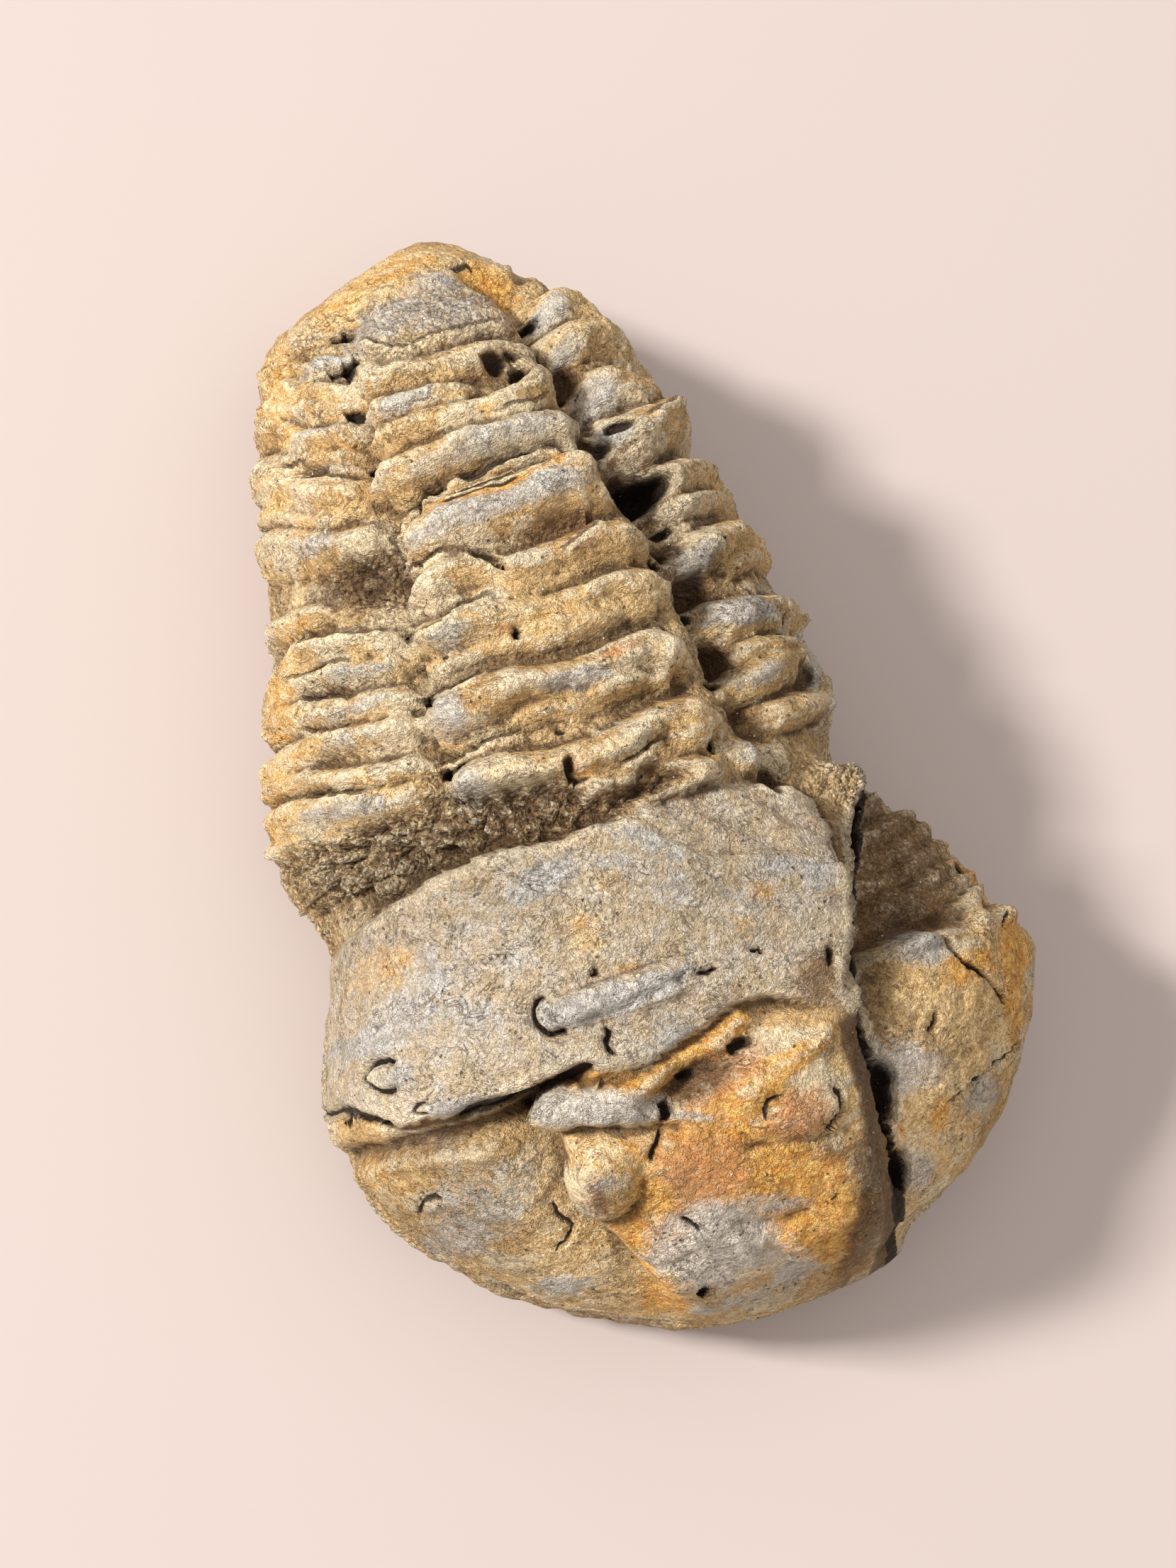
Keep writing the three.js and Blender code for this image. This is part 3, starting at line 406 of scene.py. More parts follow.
# The furrow along the rear of the left cheek, and the crest in front of it
BORDER_FURROW = [
    (-26.1, -20.5), (-24.7, -21.1), (-23.3, -21.1), (-20.2, -21.6), (-17.6, -21.7), (-14.4, -21.8),
]
BORDER_CREST = [(-24.5, -21.7), (-22.4, -22.1), (-20.6, -22.6), (-18.2, -23.3)]
# The ridge across the front of the glabella
FRONT_RIDGE = [(0.1, -35), (1.6, -36.8), (3.6, -37.9), (5.2, -37)]
# The right cheek's border
CHEEK_BORDER = [(23.9, -26.4), (21.8, -28.8), (18.9, -29.6), (16, -30.4), (13.4, -30.9), (11.3, -31.2)]

# Where each tone of the stone shows: x, y, half-length, half-width, turn, strength
OCHRE_PLACES = [
    (-0.7, 38.3, 4.41, 1.17, -1, 1), (-4.4, 37.2, 3.13, 1.14, 18, 0.9), (-7.9, 36.7, 2.86, 0.88, 18, 0.7),
    (-13, 34.9, 0.9, 1.59, -17, 1), (-14.1, 32.2, 1.78, 1.18, -17, 0.9),
    (-13.8, 29.3, 1.78, 0.65, -17, 0.9), (-15.2, 25.2, 2.51, 0.77, -17, 0.5),
    (-15.9, 27.4, 1.01, 0.52, -17, 0.6), (-16.5, 24.7, 0.77, 1.31, -17, 0.7),
    (-6.7, 34.7, 1.51, 1.55, -17, 0.5), (-3.7, 27.7, 0.61, 0.2, -17, 0.8),
    (-1.8, 24.5, 1.72, 0.74, -7, 0.5), (2, 16.4, 2.23, 0.61, 3, 0.6), (-9.9, 17.2, 0.97, 1.47, -18, 0.5),
    (-8, 16.8, 1.23, 1.43, 22, 0.35), (3.4, 17.2, 0.98, 1.23, -17, 0.35), (-3.5, 9.1, 1.95, 0.53, 4, 0.7),
    (0.3, 8.9, 1.72, 0.38, 7, 0.4), (-5.7, 9.3, 1.2, 0.48, -18, 0.5), (-20.3, 11.7, 0.56, 6.67, -21, 1),
    (-18.3, 15.2, 0.77, 1.84, -38, 0.9), (-19.3, 12.3, 1.51, 0.35, 2, 0.6),
    (-20.1, 10, 1.52, 0.41, -3, 0.7), (-22.1, 6.5, 0.55, 2.28, -18, 0.9), (-19.8, 7, 2.96, 0.4, -6, 0.5),
    (-19.9, 4.9, 2.19, 0.39, -13, 0.5), (-22.9, 2.9, 0.75, 1.51, -18, 0.6), (-9.2, 7.2, 2.43, 0.48, 7, 0.5),
    (-12.6, 2.4, 1.46, 0.38, 7, 0.6), (-7.8, -0.3, 2.38, 0.66, -18, 0.7), (-9.1, 2.2, 1.93, 0.48, -3, 0.4),
    (4.4, 0.3, 1.46, 0.96, -18, 0.5), (11.1, 3.5, 1.5, 0.99, -18, 0.6), (11.3, -1.9, 1.5, 0.99, -18, 0.6),
    (16.5, 10.6, 1.03, 1.59, -38, 0.5), (13.2, 14.4, 1.54, 0.77, -17, 0.4),
    (14.8, 11.8, 1.54, 1.03, -17, 0.3), (12.7, 24.5, 0.77, 0.78, -17, 0.3), (6.8, 35.9, 1.33, 0.52, 3, 0.8),
    (13.9, 16.3, 1.29, 0.78, -17, 0.4), (-20.9, -9, 1.7, 1.45, 21, 0.45),
    (-19.3, -9.7, 0.72, 1.19, -19, 0.5), (-5.8, -8.9, 1.67, 0.71, -19, 0.4),
    (4.2, -13, 0.97, 0.83, -19, 0.6), (-7.1, -5.7, 1.43, 0.33, -8, 0.5), (-13.1, -6, 1.18, 0.71, -19, 0.3),
    (-7.9, -11.9, 1.66, 1.41, -19, 0.6), (2.2, -14.3, 0.72, 0.71, -19, 0.4),
    (-5.8, -14.6, 1.44, 0.7, 1, 0.35), (-9.8, -21.3, 3.82, 0.33, -19, 0.9),
    (-11.4, -24.3, 2.87, 0.56, -14, 0.5), (-12.7, -25.1, 1.43, 1.17, -19, 0.35),
    (-24.3, -22.3, 2.72, 0.98, -24, 0.45), (-23.4, -24.2, 2.96, 1.46, -49, 0.25),
    (-24.7, -23, 1.01, 2.28, 10, 0.35), (6.6, -27.6, 0.98, 2.14, -19, 0.3), (14, -23, 3.05, 1.21, 0, 0.9),
    (20.7, -27.7, 1.05, 1.5, 0, 0.8), (20.5, -31.4, 0.8, 3.03, -5, 0.7), (16.7, -34.6, 0.63, 2.27, 9, 0.5),
    (19.9, -11.8, 1.59, 1.01, 11, 0.6), (21.5, -14.7, 1.6, 1.01, 15, 0.6),
    (14.5, -25.1, 2.54, 1.47, -19, 0.3), (4.8, -22.6, 0.73, 1.42, -19, 0.5),
]
ORANGE_PLACES = [
    (-4.4, -21.9, 3.87, 0.8, 8, 1.7), (-1.5, -21, 2.17, 0.66, 18, 1.6),
    (-10.3, -21.1, 3.58, 0.47, -16, 1.2), (1.7, -23.7, 4.12, 0.61, 10, 1.3), (-1.4, -25, 1.92, 0.93, 10, 1),
    (-8.5, -30.2, 1.32, 1.88, 5, 1), (-10.5, -31.5, 1.21, 0.94, -20, 0.9),
    (-9.4, -34.4, 1.46, 0.53, -44, 1), (-7.9, -37, 1.48, 0.49, -49, 0.8),
    (-1.2, -29.9, 2.92, 1.18, -12, 1.1), (2, -30.7, 1.96, 0.94, -12, 1),
    (-2.3, -31.2, 1.46, 0.71, -19, 0.6), (3.3, -34.9, 1.95, 1.94, -49, 1.2),
    (1.1, -35.6, 2.21, 1.2, -39, 1.1), (4.4, -38, 0.76, 1.94, -10, 0.9), (1.2, -33.7, 1.48, 0.95, -19, 0.6),
    (-9, -37.6, 1.52, 0.74, -44, 0.7), (23.8, -21.8, 1.31, 1.78, -19, 1.1),
    (22.3, -25.5, 1.05, 3.27, -14, 1), (9.2, -32, 0.75, 1.48, -34, 1.2), (18.6, -22.3, 2.59, 0.99, -4, 0.9),
    (13.5, -31.4, 0.87, 0.99, -19, 1), (3.7, 35.4, 2.16, 1.33, -37, 1), (-5.4, 18.6, 1.7, 0.32, -9, 1.2),
    (-2, 18.3, 1.47, 0.24, 8, 1.2), (0.8, 19, 1.48, 0.39, 8, 1.2), (-4.8, -1, 1.19, 0.81, -18, 0.9),
    (23.5, -16.5, 1.07, 1.28, 10, 0.9), (-10.1, -30.7, 2.9, 3.76, 0, 0.5),
    (-5.4, -26.7, 5.29, 1.4, -19, 0.5), (0.9, -32.3, 4.89, 2.85, -29, 0.5),
    (-1.6, -26.1, 4.84, 1.4, -5, 0.5),
]
# Sand in the furrow by the glabella, and painted light on the right cheek
SAND_AND_PAINTED_LIGHT_PLACES = [
    (13.9, -24.5, 5.1, 3.16, 5, 0.9), (15.6, -28.7, 3.08, 2.96, -19, 0.7),
    (11.1, -32.4, 2.03, 2.95, -29, 0.6), (-14.3, -25.6, 1.93, 3.34, -44, 1.3),
    (-13, -31, 2.19, 3.62, -59, 1.3), (-10.5, -35.5, 1.48, 2.71, -64, 1),
    (-12.3, -24.2, 2.39, 0.94, -19, 0.7),
]
BLUE_GREY_PLACES = [
    (-10.3, 32.7, 2.25, 0.51, -12, 0.9), (-11.8, 27.9, 1.73, 0.51, -12, 0.7),
    (-6.2, 26.7, 1.73, 0.69, -2, 0.9), (6.8, 31.5, 1.03, 0.72, -7, 1), (6.6, 28.1, 1.01, 0.82, -17, 0.9),
    (6.9, 23.7, 1.26, 1.27, -17, 0.9), (-4, 17, 5.63, 0.63, 1, 1), (-6.2, 17.9, 1.22, 0.63, 3, 0.7),
    (0.2, 17.5, 1.47, 0.58, 3, 0.8), (-4.1, 21.8, 3.95, 0.83, 3, 0.5), (1.3, 22, 2.99, 0.98, 3, 0.5),
    (6.6, 20.6, 1, 0.76, -17, 0.8), (9.1, 10.3, 1.25, 1.25, -18, 0.6), (10.2, 6.2, 1.5, 0.85, -18, 0.8),
    (11.3, 5.7, 1.51, 0.69, -8, 1.1), (-2.7, 4.4, 2.18, 0.57, -6, 1.1), (-9.2, 10, 1.19, 1.2, -18, 0.7),
    (-11.1, 5.3, 1.19, 1.44, -18, 0.9), (-11.6, 0, 1.43, 1.19, -18, 0.7),
    (-15.3, 10.4, 2.66, 0.59, -13, 0.7), (-16.6, 8.1, 2.43, 0.49, -8, 0.6), (-17, 6.1, 2.42, 0.63, -8, 0.5),
    (-18.5, 1.8, 3.14, 0.68, -13, 0.8), (-13.3, 25.3, 2.24, 0.51, -17, 0.5),
    (-15.6, 20.5, 2.49, 0.76, -18, 0.4), (-14.5, 20.3, 1.47, 0.5, -17, 0.4),
    (7.7, -3.7, 1.48, 0.83, -18, 0.6), (10.5, 1.4, 1.52, 0.59, 7, 0.7), (14.7, 6.9, 1.02, 1.27, -18, 0.5),
    (16.4, 1, 0.65, 3.33, -18, 0.9), (-6.4, 34, 2.31, 1.26, 13, 0.7), (-1.2, 33.7, 4.78, 2.31, -17, 0.7),
    (-0.2, 35.9, 1.52, 0.78, -17, 0.5), (-10.6, -7.7, 1.43, 0.93, 11, 1),
    (-8.7, -7.2, 1.42, 0.94, -18, 0.8), (-2.5, -6.8, 2.85, 0.57, -38, 0.8),
    (-9.5, -16.3, 3.31, 0.93, -4, 1.5), (-4.8, -16.5, 2.39, 0.74, 1, 1.2),
    (-18.1, -10, 1.43, 1.42, -19, 0.5), (-19.9, -12.8, 1.91, 1.66, -19, 0.7),
    (-16.2, -14.3, 1.42, 1.17, -19, 0.7), (-13.2, -12, 1.18, 0.94, -19, 0.4),
    (6.1, -11.6, 1.95, 0.72, -18, 0.8), (8.7, -13.2, 0.98, 0.96, -19, 0.9),
    (-1.5, -10.9, 1.92, 1.18, -19, 0.5), (2.4, -12.9, 1.45, 0.95, -19, 0.4),
    (-4.6, -7.6, 1.43, 0.71, -18, 0.6), (-4.5, -19.7, 1.44, 1.17, 1, 0.7),
    (-22.8, -13.7, 1.45, 0.96, -19, 0.6), (-15, -8.8, 1.42, 0.94, -19, 0.4),
    (-16.8, -11.6, 1.42, 0.94, -19, 0.4), (-10.7, -22.3, 3.31, 0.88, -19, 1.9),
    (-19.2, -19.8, 1.66, 0.7, -19, 0.9), (-18.9, -26.4, 3.89, 2.63, 0, 0.5),
    (-21, -28.6, 2.47, 1.47, 10, 0.4), (-15.1, -34.2, 1.76, 0.59, -25, 1),
    (-12.8, -28.3, 0.95, 0.7, -19, 0.7), (-10.9, -26.5, 1.19, 0.7, -19, 0.6),
    (-5.5, -31.8, 3.4, 1.41, -10, 1), (-3.5, -34.5, 3.18, 1.65, -20, 0.9),
    (-8.2, -33.3, 2.19, 0.71, -20, 0.9), (0.4, -37.6, 1.5, 1.21, -20, 0.9),
    (-6, -35.6, 1.97, 1.19, -20, 0.5), (-6, -38.4, 0.76, 0.39, -20, 0.7),
    (-3.3, -38.6, 3.03, 0.73, -10, 0.5), (-5.3, -24.9, 2.16, 0.37, -19, 0.6),
    (-0.2, -32.2, 2.2, 0.61, -19, 0.6), (-21.7, -16.6, 0.95, 0.85, -19, 0.7),
    (-22.9, -13.4, 1.45, 0.72, -19, 0.5), (18, -31.2, 1.57, 1.25, 0, 0.9),
    (11.1, -34.6, 1.54, 1.48, -19, 0.7), (10.5, -26.7, 2.76, 1.94, -19, 0.5),
    (12.9, -27.9, 2.53, 1.47, -19, 0.4), (15.1, -19.8, 2.02, 1.22, -19, 0.9),
    (26, -24.3, 0.38, 1.55, -19, 0.9), (15.8, -6.8, 1.53, 1, -18, 0.4),
]
RUST_PLACES = [
    (0.9, 13.7, 1.49, 0.72, 27, 0.9), (0.6, 5.4, 1.47, 0.52, 12, 1.2), (-5, -1, 0.95, 0.57, -18, 0.6),
    (-10, 5.7, 0.71, 0.96, -18, 0.3), (-5.1, -28.1, 2.41, 2.1, -19, 1),
    (-11.6, -27.5, 0.57, 1.05, -19, 1.3), (1.9, -26.9, 1.93, 1.64, -19, 1),
    (-1.5, -22.9, 2.18, 1.18, 15, 0.9), (-4.8, -24.1, 2.17, 0.7, 0, 0.6), (20.1, -10.3, 0.8, 0.41, 1, 1),
    (25.5, -24.2, 0.21, 1.54, -19, 0.8), (-5.9, 9.4, 1.44, 0.39, -18, 0.5),
    (-1.4, 30.5, 1.5, 0.51, -17, 0.35), (-4.2, -29.6, 1.45, 0.94, -19, 0.5),
]
# Painted light and shade in broad patches: darker where the strength is below 0, lighter where it is above
PAINTED_LIGHT_AND_SHADE_PLACES = [
    (-3.7, -23.2, 2.42, 0.85, 12, -0.3), (-11, -27, 1.33, 1.3, -19, -0.36),
    (-11.8, -32.3, 1.03, 3.64, 18, -0.33), (-22.6, -19.5, 2.67, 1.2, -9, 0.3),
    (-17.9, -31.3, 2.22, 1.22, -49, -0.13), (-14.1, -25.1, 0.97, 1.43, 0, 0.12),
    (-21.5, -25.5, 5.87, 4.08, -10, -0.28), (3.2, -12.2, 6.31, 3.56, -19, -0.2),
    (-4.5, -34.6, 5.64, 2.13, -20, 0.2), (15.3, -24.7, 4.83, 4.16, -19, 0.12),
    (11.2, -31.7, 4.07, 3.67, -19, 0.3), (10.5, 4.3, 3.77, 4.97, -18, -0.24),
    (8.3, 14, 3.7, 5.1, -48, -0.1), (-13.1, 27.4, 3.23, 6.59, -17, 0.14), (-16, -6.3, 6.7, 4.01, -4, -0.18),
    (-14.5, -3.4, 8.03, 1.44, -6, -0.1), (-5.2, 14.7, 7.37, 2.17, 2, 0.08),
    (-13.9, -25.7, 1.45, 3.34, -44, 0.2), (16.5, -14.3, 3.87, 4.51, -18, -0.08),
    (6.1, -33.1, 1.24, 6.66, -14, -0.35), (19.9, -32.6, 4.97, 1.2, 41, -0.2),
    (10.8, -20.9, 1.51, 2.2, -19, -0.5), (-13.1, 16.4, 2.22, 1.25, -18, -0.3),
    (14.2, -16.5, 2.31, 0.99, -9, -0.2), (-11, -29.7, 1.58, 0.42, -5, -0.6),
    (-9.4, -29, 0.48, 1.03, -29, -0.35),
]
# Brown stain, and painted shade on faces turned from the light: the rib ends beside the slab and the steep
# right side of the glabella
BROWN_STAIN_AND_SHADE_PLACES = [
    (-11.8, -32.3, 0.88, 3.39, 18, 0.45), (-3.6, -23.1, 2.66, 0.75, 12, 1.2),
    (-11.5, -27.5, 0.36, 0.74, -19, 1.3), (2.5, 30.6, 2.8, 0.76, -7, 0.6),
    (6.1, 26.1, 1.53, 1.55, -17, 0.8), (5.2, 20.5, 2.01, 1.27, -17, 0.8), (0.6, 26.6, 2.48, 1.26, -17, 0.7),
    (7.1, 17, 2.78, 2.29, -17, 1.2), (7.2, 11.9, 2.01, 1.01, -18, 0.8), (8.7, 9, 1.77, 1.51, -18, 0.9),
    (8.9, 8.9, 1.77, 1.51, -18, 0.8), (8.4, 3.4, 1.76, 1.5, -18, 0.9), (9, -1.3, 1.76, 1.24, -18, 0.9),
    (1.1, -2.9, 3.14, 1.44, -18, 0.6), (-13.3, 16.5, 3.21, 2, -18, 0.9), (-1.1, 15.1, 4.95, 0.97, 2, 0.4),
    (-15.7, -2.8, 9.31, 2.42, -6, 0.55), (-6.4, -3.1, 6.3, 1.43, -8, 0.5),
    (-15.7, -21.9, 2.42, 0.71, -4, 0.6), (7.8, -31.6, 1.5, 7.91, -14, 1.2),
    (5.6, -34.7, 1.25, 4.78, -15, 0.9), (-23.5, -21.4, 4.91, 0.73, -11, 0.6),
    (4, -30.2, 2.7, 0.95, -19, 0.5), (-3.1, -33.1, 1.47, 0.47, -20, 0.3),
    (14.6, -13.7, 3.85, 4.49, -18, 1.2), (18, -14.7, 3.11, 4.03, -18, 0.9), (7.6, -20, 2.93, 2.14, -19, 1),
    (14.9, -17.5, 3.85, 1.25, -19, 0.9), (13.9, -26.3, 5.07, 2.93, -19, 0.35),
    (5.2, -7.6, 5.63, 1.68, -18, 0.35),
]


# Curves, steps and noise --------------------------------------------------------------------------
def smooth_path(points, steps):
    """Points on a smooth curve through the given ones, with this many steps from one to the next."""
    p = np.array(points, float)
    if len(p) < 3:
        steps = 1
    last = len(p) - 1
    t = np.linspace(0, last, last * steps + 1)
    i = np.minimum(t.astype(int), last - 1)
    w = (t - i)[:, None]
    a, b, c, d = p[np.maximum(i - 1, 0)], p[i], p[i + 1], p[np.minimum(i + 2, last)]
    v0, v1 = (c - a) / 2, (d - b) / 2
    return (2 * b - 2 * c + v0 + v1) * w**3 + (3 * c - 3 * b - 2 * v0 - v1) * w**2 + v0 * w + b


def curve(points, by):
    """A smooth curve through points, as a table read by x (by=0) or by y (by=1)."""
    fine = smooth_path(points, 12)
    fine = fine[np.argsort(fine[:, by], kind="stable")]
    return fine[:, by], fine[:, 1 - by]


def along(table, at):
    return np.interp(at, table[0], table[1])


def between(low, high, value):
    """0 at low, 1 at high, smooth between them."""
    t = np.clip((value - low) / (high - low), 0, 1)
    return t * t * (3 - 2 * t)


def swell(distance, width):
    return np.exp(-((distance / width) ** 2))


def stairs(values, soft):
    """Turns a smooth field into steps, like broken layers."""
    whole = np.floor(values)
    return whole + between(0.5 - soft, 0.5 + soft, values - whole)


def hashed(i, j, k, seed):
    """A fixed number from 0 to 1 for each whole-numbered cell."""
    with np.errstate(over="ignore"):
        h = i.astype(np.uint32) * np.uint32(374761393) + j.astype(np.uint32) * np.uint32(668265263)
        h = h + k.astype(np.uint32) * np.uint32(2246822519) + np.uint32((seed * 3266489917) % 2**32)
        h = (h ^ (h >> np.uint32(15))) * np.uint32(2246822519)
        h = (h ^ (h >> np.uint32(13))) * np.uint32(3266489917)
    return (h ^ (h >> np.uint32(16))) / 4294967296.0


def lattice(p, seed):
    """Smooth noise from -1 to 1 at points p, with cells of 1."""
    q = p + 4096.0
    base = np.floor(q).astype(np.int64)
    f = q - base
    f = f * f * (3 - 2 * f)
    out = 0
    for dx in (0, 1):
        for dy in (0, 1):
            for dz in (0, 1):
                w = (f[:, 0] if dx else 1 - f[:, 0]) * (f[:, 1] if dy else 1 - f[:, 1])
                w = w * (f[:, 2] if dz else 1 - f[:, 2])
                out = out + w * hashed(base[:, 0] + dx, base[:, 1] + dy, base[:, 2] + dz, seed)
    return out * 2 - 1


def noise(p, scale, octaves, seed):
    out, gain, norm = 0, 1.0, 0
    for n in range(octaves):
        out = out + gain * lattice(p * (2.03**n / scale) + 17.3 * n, seed + n)
        norm += gain
        gain *= 0.5
    return out / norm


def lumps(p, scale, seed):
    """How far a place is from the border between two lumps, in cells, and the number of its lump."""
    q = p / scale + 4096.0
    base = np.floor(q).astype(np.int64)
    first = np.full(len(p), 9.0)
    second = np.full(len(p), 9.0)
    value = np.zeros(len(p))
    for dx in (-1, 0, 1):
        for dy in (-1, 0, 1):
            for dz in (-1, 0, 1):
                c = base + (dx, dy, dz)
                at = c + np.stack([hashed(c[:, 0], c[:, 1], c[:, 2], seed + s) for s in (1, 2, 3)], 1)
                d = np.linalg.norm(q - at, axis=1)
                nearer = d < first
                second = np.where(nearer, first, np.minimum(second, d))
                value = np.where(nearer, hashed(c[:, 0], c[:, 1], c[:, 2], seed + 4), value)
                first = np.where(nearer, d, first)
    return second - first, value


# Shapes drawn on the back, as seen from above -----------------------------------------------------
def to_path(path, x, y, margin, steps=4):
    """The points near a path: their distance, side and run along it, and the length of the path."""
    p = smooth_path(path, steps)
    low, high = p.min(0) - margin, p.max(0) + margin
    pick = np.nonzero((x > low[0]) & (x < high[0]) & (y > low[1]) & (y < high[1]))[0]
    px, py = x[pick], y[pick]
    best = np.full(len(pick), 1e9)
    side = np.zeros(len(pick))
    run = np.zeros(len(pick))
    length = 0.0
    for a, b in zip(p, p[1:]):
        d = b - a
        size = math.hypot(*d) or 1e-9
        t = np.clip(((px - a[0]) * d[0] + (py - a[1]) * d[1]) / size**2, 0, 1)
        ex, ey = px - a[0] - t * d[0], py - a[1] - t * d[1]
        far = np.hypot(ex, ey)
        nearer = far < best
        best = np.where(nearer, far, best)
        side = np.where(nearer, np.sign(d[0] * ey - d[1] * ex), side)
        run = np.where(nearer, length + t * size, run)
        length += size
    return pick, best, side, run, length


def fade_ends(run, length, over, least=0.0):
    """1 along a path, and down to least at its two ends."""
    return np.clip(np.minimum(run, length - run) / over + least, 0, 1)


def inside(outline, x, y):
    """Distance into an outline: positive inside it."""
    p = smooth_path(list(outline) + [outline[0]], 3)
    within = np.zeros(len(x), bool)
    best = np.full(len(x), 1e9)
    for a, b in zip(p, p[1:]):
        d = b - a
        if abs(d[1]) > 1e-9:
            crosses = ((a[1] > y) != (b[1] > y)) & (x < d[0] * (y - a[1]) / d[1] + a[0])
            within ^= crosses
        size = max(d @ d, 1e-12)
        t = np.clip(((x - a[0]) * d[0] + (y - a[1]) * d[1]) / size, 0, 1)
        best = np.minimum(best, np.hypot(x - a[0] - t * d[0], y - a[1] - t * d[1]))
    return np.where(within, best, -best)


def oval(x, y, cx, cy, length, width, turn):
    """0 at the middle of a turned oval, 1 on its edge, and growing with the square of the distance."""
    c, s = math.cos(math.radians(turn)), math.sin(math.radians(turn))
    a = ((x - cx) * c + (y - cy) * s) / length
    b = ((y - cy) * c - (x - cx) * s) / width
    return a * a + b * b


def bump(x, y, spot, flatness):
    """1 in the middle of an oval and 0 well outside it. A greater flatness gives a flatter top."""
    return np.exp(-(oval(x, y, *spot) ** flatness))


def run_on(path, end):
    """Carries a path straight on past its outer end, so that a rib reaches down the side."""
    (ax, ay), (bx, by) = (path[0], path[1]) if end == 0 else (path[-1], path[-2])
    size = 5 / math.hypot(ax - bx, ay - by)
    further = (ax + (ax - bx) * size, ay + (ay - by) * size)
    return [further] + path if end == 0 else path + [further]


def raise_ridge(ground, x, y, path, width, height, base, lean=0.3):
    """Lifts the ground to a rounded ridge. Its tail side (left of the path) is steeper by lean."""
    pick, d, side, run, length = to_path(path, x, y, width * 2)
    w = width * np.where(side > 0, 1 - lean, 1 + lean)
    d = np.where((run <= 0) | (run >= length - 1e-9), 1.6 * d, d)
    t = np.clip(d / w, 0, 1)
    ends = fade_ends(run, length, width * 0.9, least=0.45) ** 0.5
    lifted = base + (height - base) * (1 - t**1.8) ** 0.8 * ends
    ground[pick] = np.where(d < w, np.maximum(ground[pick], lifted), ground[pick])


def raise_crest(ground, x, y, path, height, width):
    """Adds a soft crest along the whole of a path, or a furrow where the height is negative."""
    pick, d, side, run, length = to_path(path, x, y, 6)
    ground[pick] += height * swell(d, width)


def cut_groove(ground, x, y, path, width, depth):
    pick, d, side, run, length = to_path(path, x, y, width * 3)
    ground[pick] -= depth * fade_ends(run, length, width * 2, least=0.2) * swell(d, width)


def raise_flake(ground, x, y, path, width, height):
    """A thin edge: sharp on its tail side, fading away on the other."""
    pick, d, side, run, length = to_path(path, x, y, width * 5)
    profile = np.where(side > 0, between(1, 0.35, d / width), between(3.2, 0.4, d / width))
    ground[pick] += height * fade_ends(run, length, over=0.8) * profile


def cut_crack(ground, x, y, path, width, depth):
    pick, d, side, run, length = to_path(path, x, y, width * 3)
    ground[pick] -= depth * fade_ends(run, length, over=0.5, least=0.3) * between(1.25, 0.35, d / width)


# The plain skin -----------------------------------------------------------------------------------
left_side, right_side = curve(LEFT_SIDE, 1), curve(RIGHT_SIDE, 1)
crest_line = curve(CREST, 0)
left_furrow, right_furrow = curve(LEFT_FURROW, 1), curve(RIGHT_FURROW, 1)


def frame_at(y, u):
    """The cross-section at y: left and right edge, middle line, top, and the height of its widest line."""
    left, right = along(left_side, y), along(right_side, y)
    axis = AXIS_X + ((left + right) / 2 - AXIS_X) * u**4
    top = along(crest_line, y)
    return left, right, axis, top, np.minimum(BELLY_HEIGHT, top)


def skin_point(u, angle):
    """A place on the skin: u runs from -1 at the head to 1 at the tail, the angle round the stone."""
    u = np.clip(u, -1, 1)
    y = MIDDLE_Y + HALF_LENGTH * ((1 + CROWDING) * u - CROWDING * u**9)
    left, right, axis, top, middle = frame_at(y, u)
    c, s = np.cos(angle), np.sin(angle)
    reach = np.where(c > 0, right - axis, left - axis)
    arch = axis + reach * np.abs(c) ** (2 / ARCH_SQUARENESS)
    belly = axis + reach * np.abs(c) ** (2 / BELLY_SQUARENESS)
    sag = BELLY_SAG * middle * np.sqrt(1 - np.abs(u) ** 7)
    z = np.where(s >= 0, middle + (top - middle) * s, np.maximum(0, middle + sag * s))
    return np.stack([np.where(s >= 0, arch, belly), y, z], 1)


def skin_normal(u, angle):
    step = 1e-3
    at_pole = np.abs(u) > 0.9985
    lengthwise = skin_point(u + step, angle) - skin_point(u - step, angle)
    around = skin_point(u, angle + step) - skin_point(u, angle - step)
    n = np.cross(lengthwise, around)
    n[at_pole] = 0
    n[:, 1] += np.where(at_pole, np.sign(u), 0)
    return n / np.maximum(np.linalg.norm(n, axis=1, keepdims=True), 1e-12)


def make_sphere():
    """The mesh to be shaped, as a sphere of 1 whose poles lie along Y, and its vertices."""
    bm = bmesh.new()
    lying = Matrix.Rotation(math.radians(-90), 4, "X")
    bmesh.ops.create_uvsphere(bm, u_segments=COLUMNS, v_segments=ROWS, radius=1, matrix=lying)
    sphere = bpy.data.meshes.new(MESH_NAME)
    bm.to_mesh(sphere)
    bm.free()
    vertices = np.zeros(len(sphere.vertices) * 3)
    sphere.vertices.foreach_get("co", vertices)
    return sphere, vertices.reshape(-1, 3)


mesh, ball = make_sphere()
count = len(ball)
row = np.rint((np.arcsin(np.clip(ball[:, 1], -1, 1)) / (math.pi / 2) + 1) / 2 * ROWS).astype(int)
column = np.rint(np.arctan2(ball[:, 2], ball[:, 0]) / (2 * math.pi) % 1 * COLUMNS).astype(int) % COLUMNS
u = row / ROWS * 2 - 1
share = column / COLUMNS
on_back = share <= TOP_SHARE
angle = math.pi * np.where(on_back, share / TOP_SHARE, 1 + (share - TOP_SHARE) / (1 - TOP_SHARE))
point = skin_point(u, angle)
normal = skin_normal(u, angle)
x0, y0, z0 = point.T
left, right, axis, top, middle = frame_at(y0, u)


def wander(seed):
    """How far a broken edge strays, in one direction."""
    broad = noise(point, scale=1.3, octaves=3, seed=seed)
    return 0.32 * broad + 0.1 * noise(point, scale=0.5, octaves=2, seed=seed + 10)


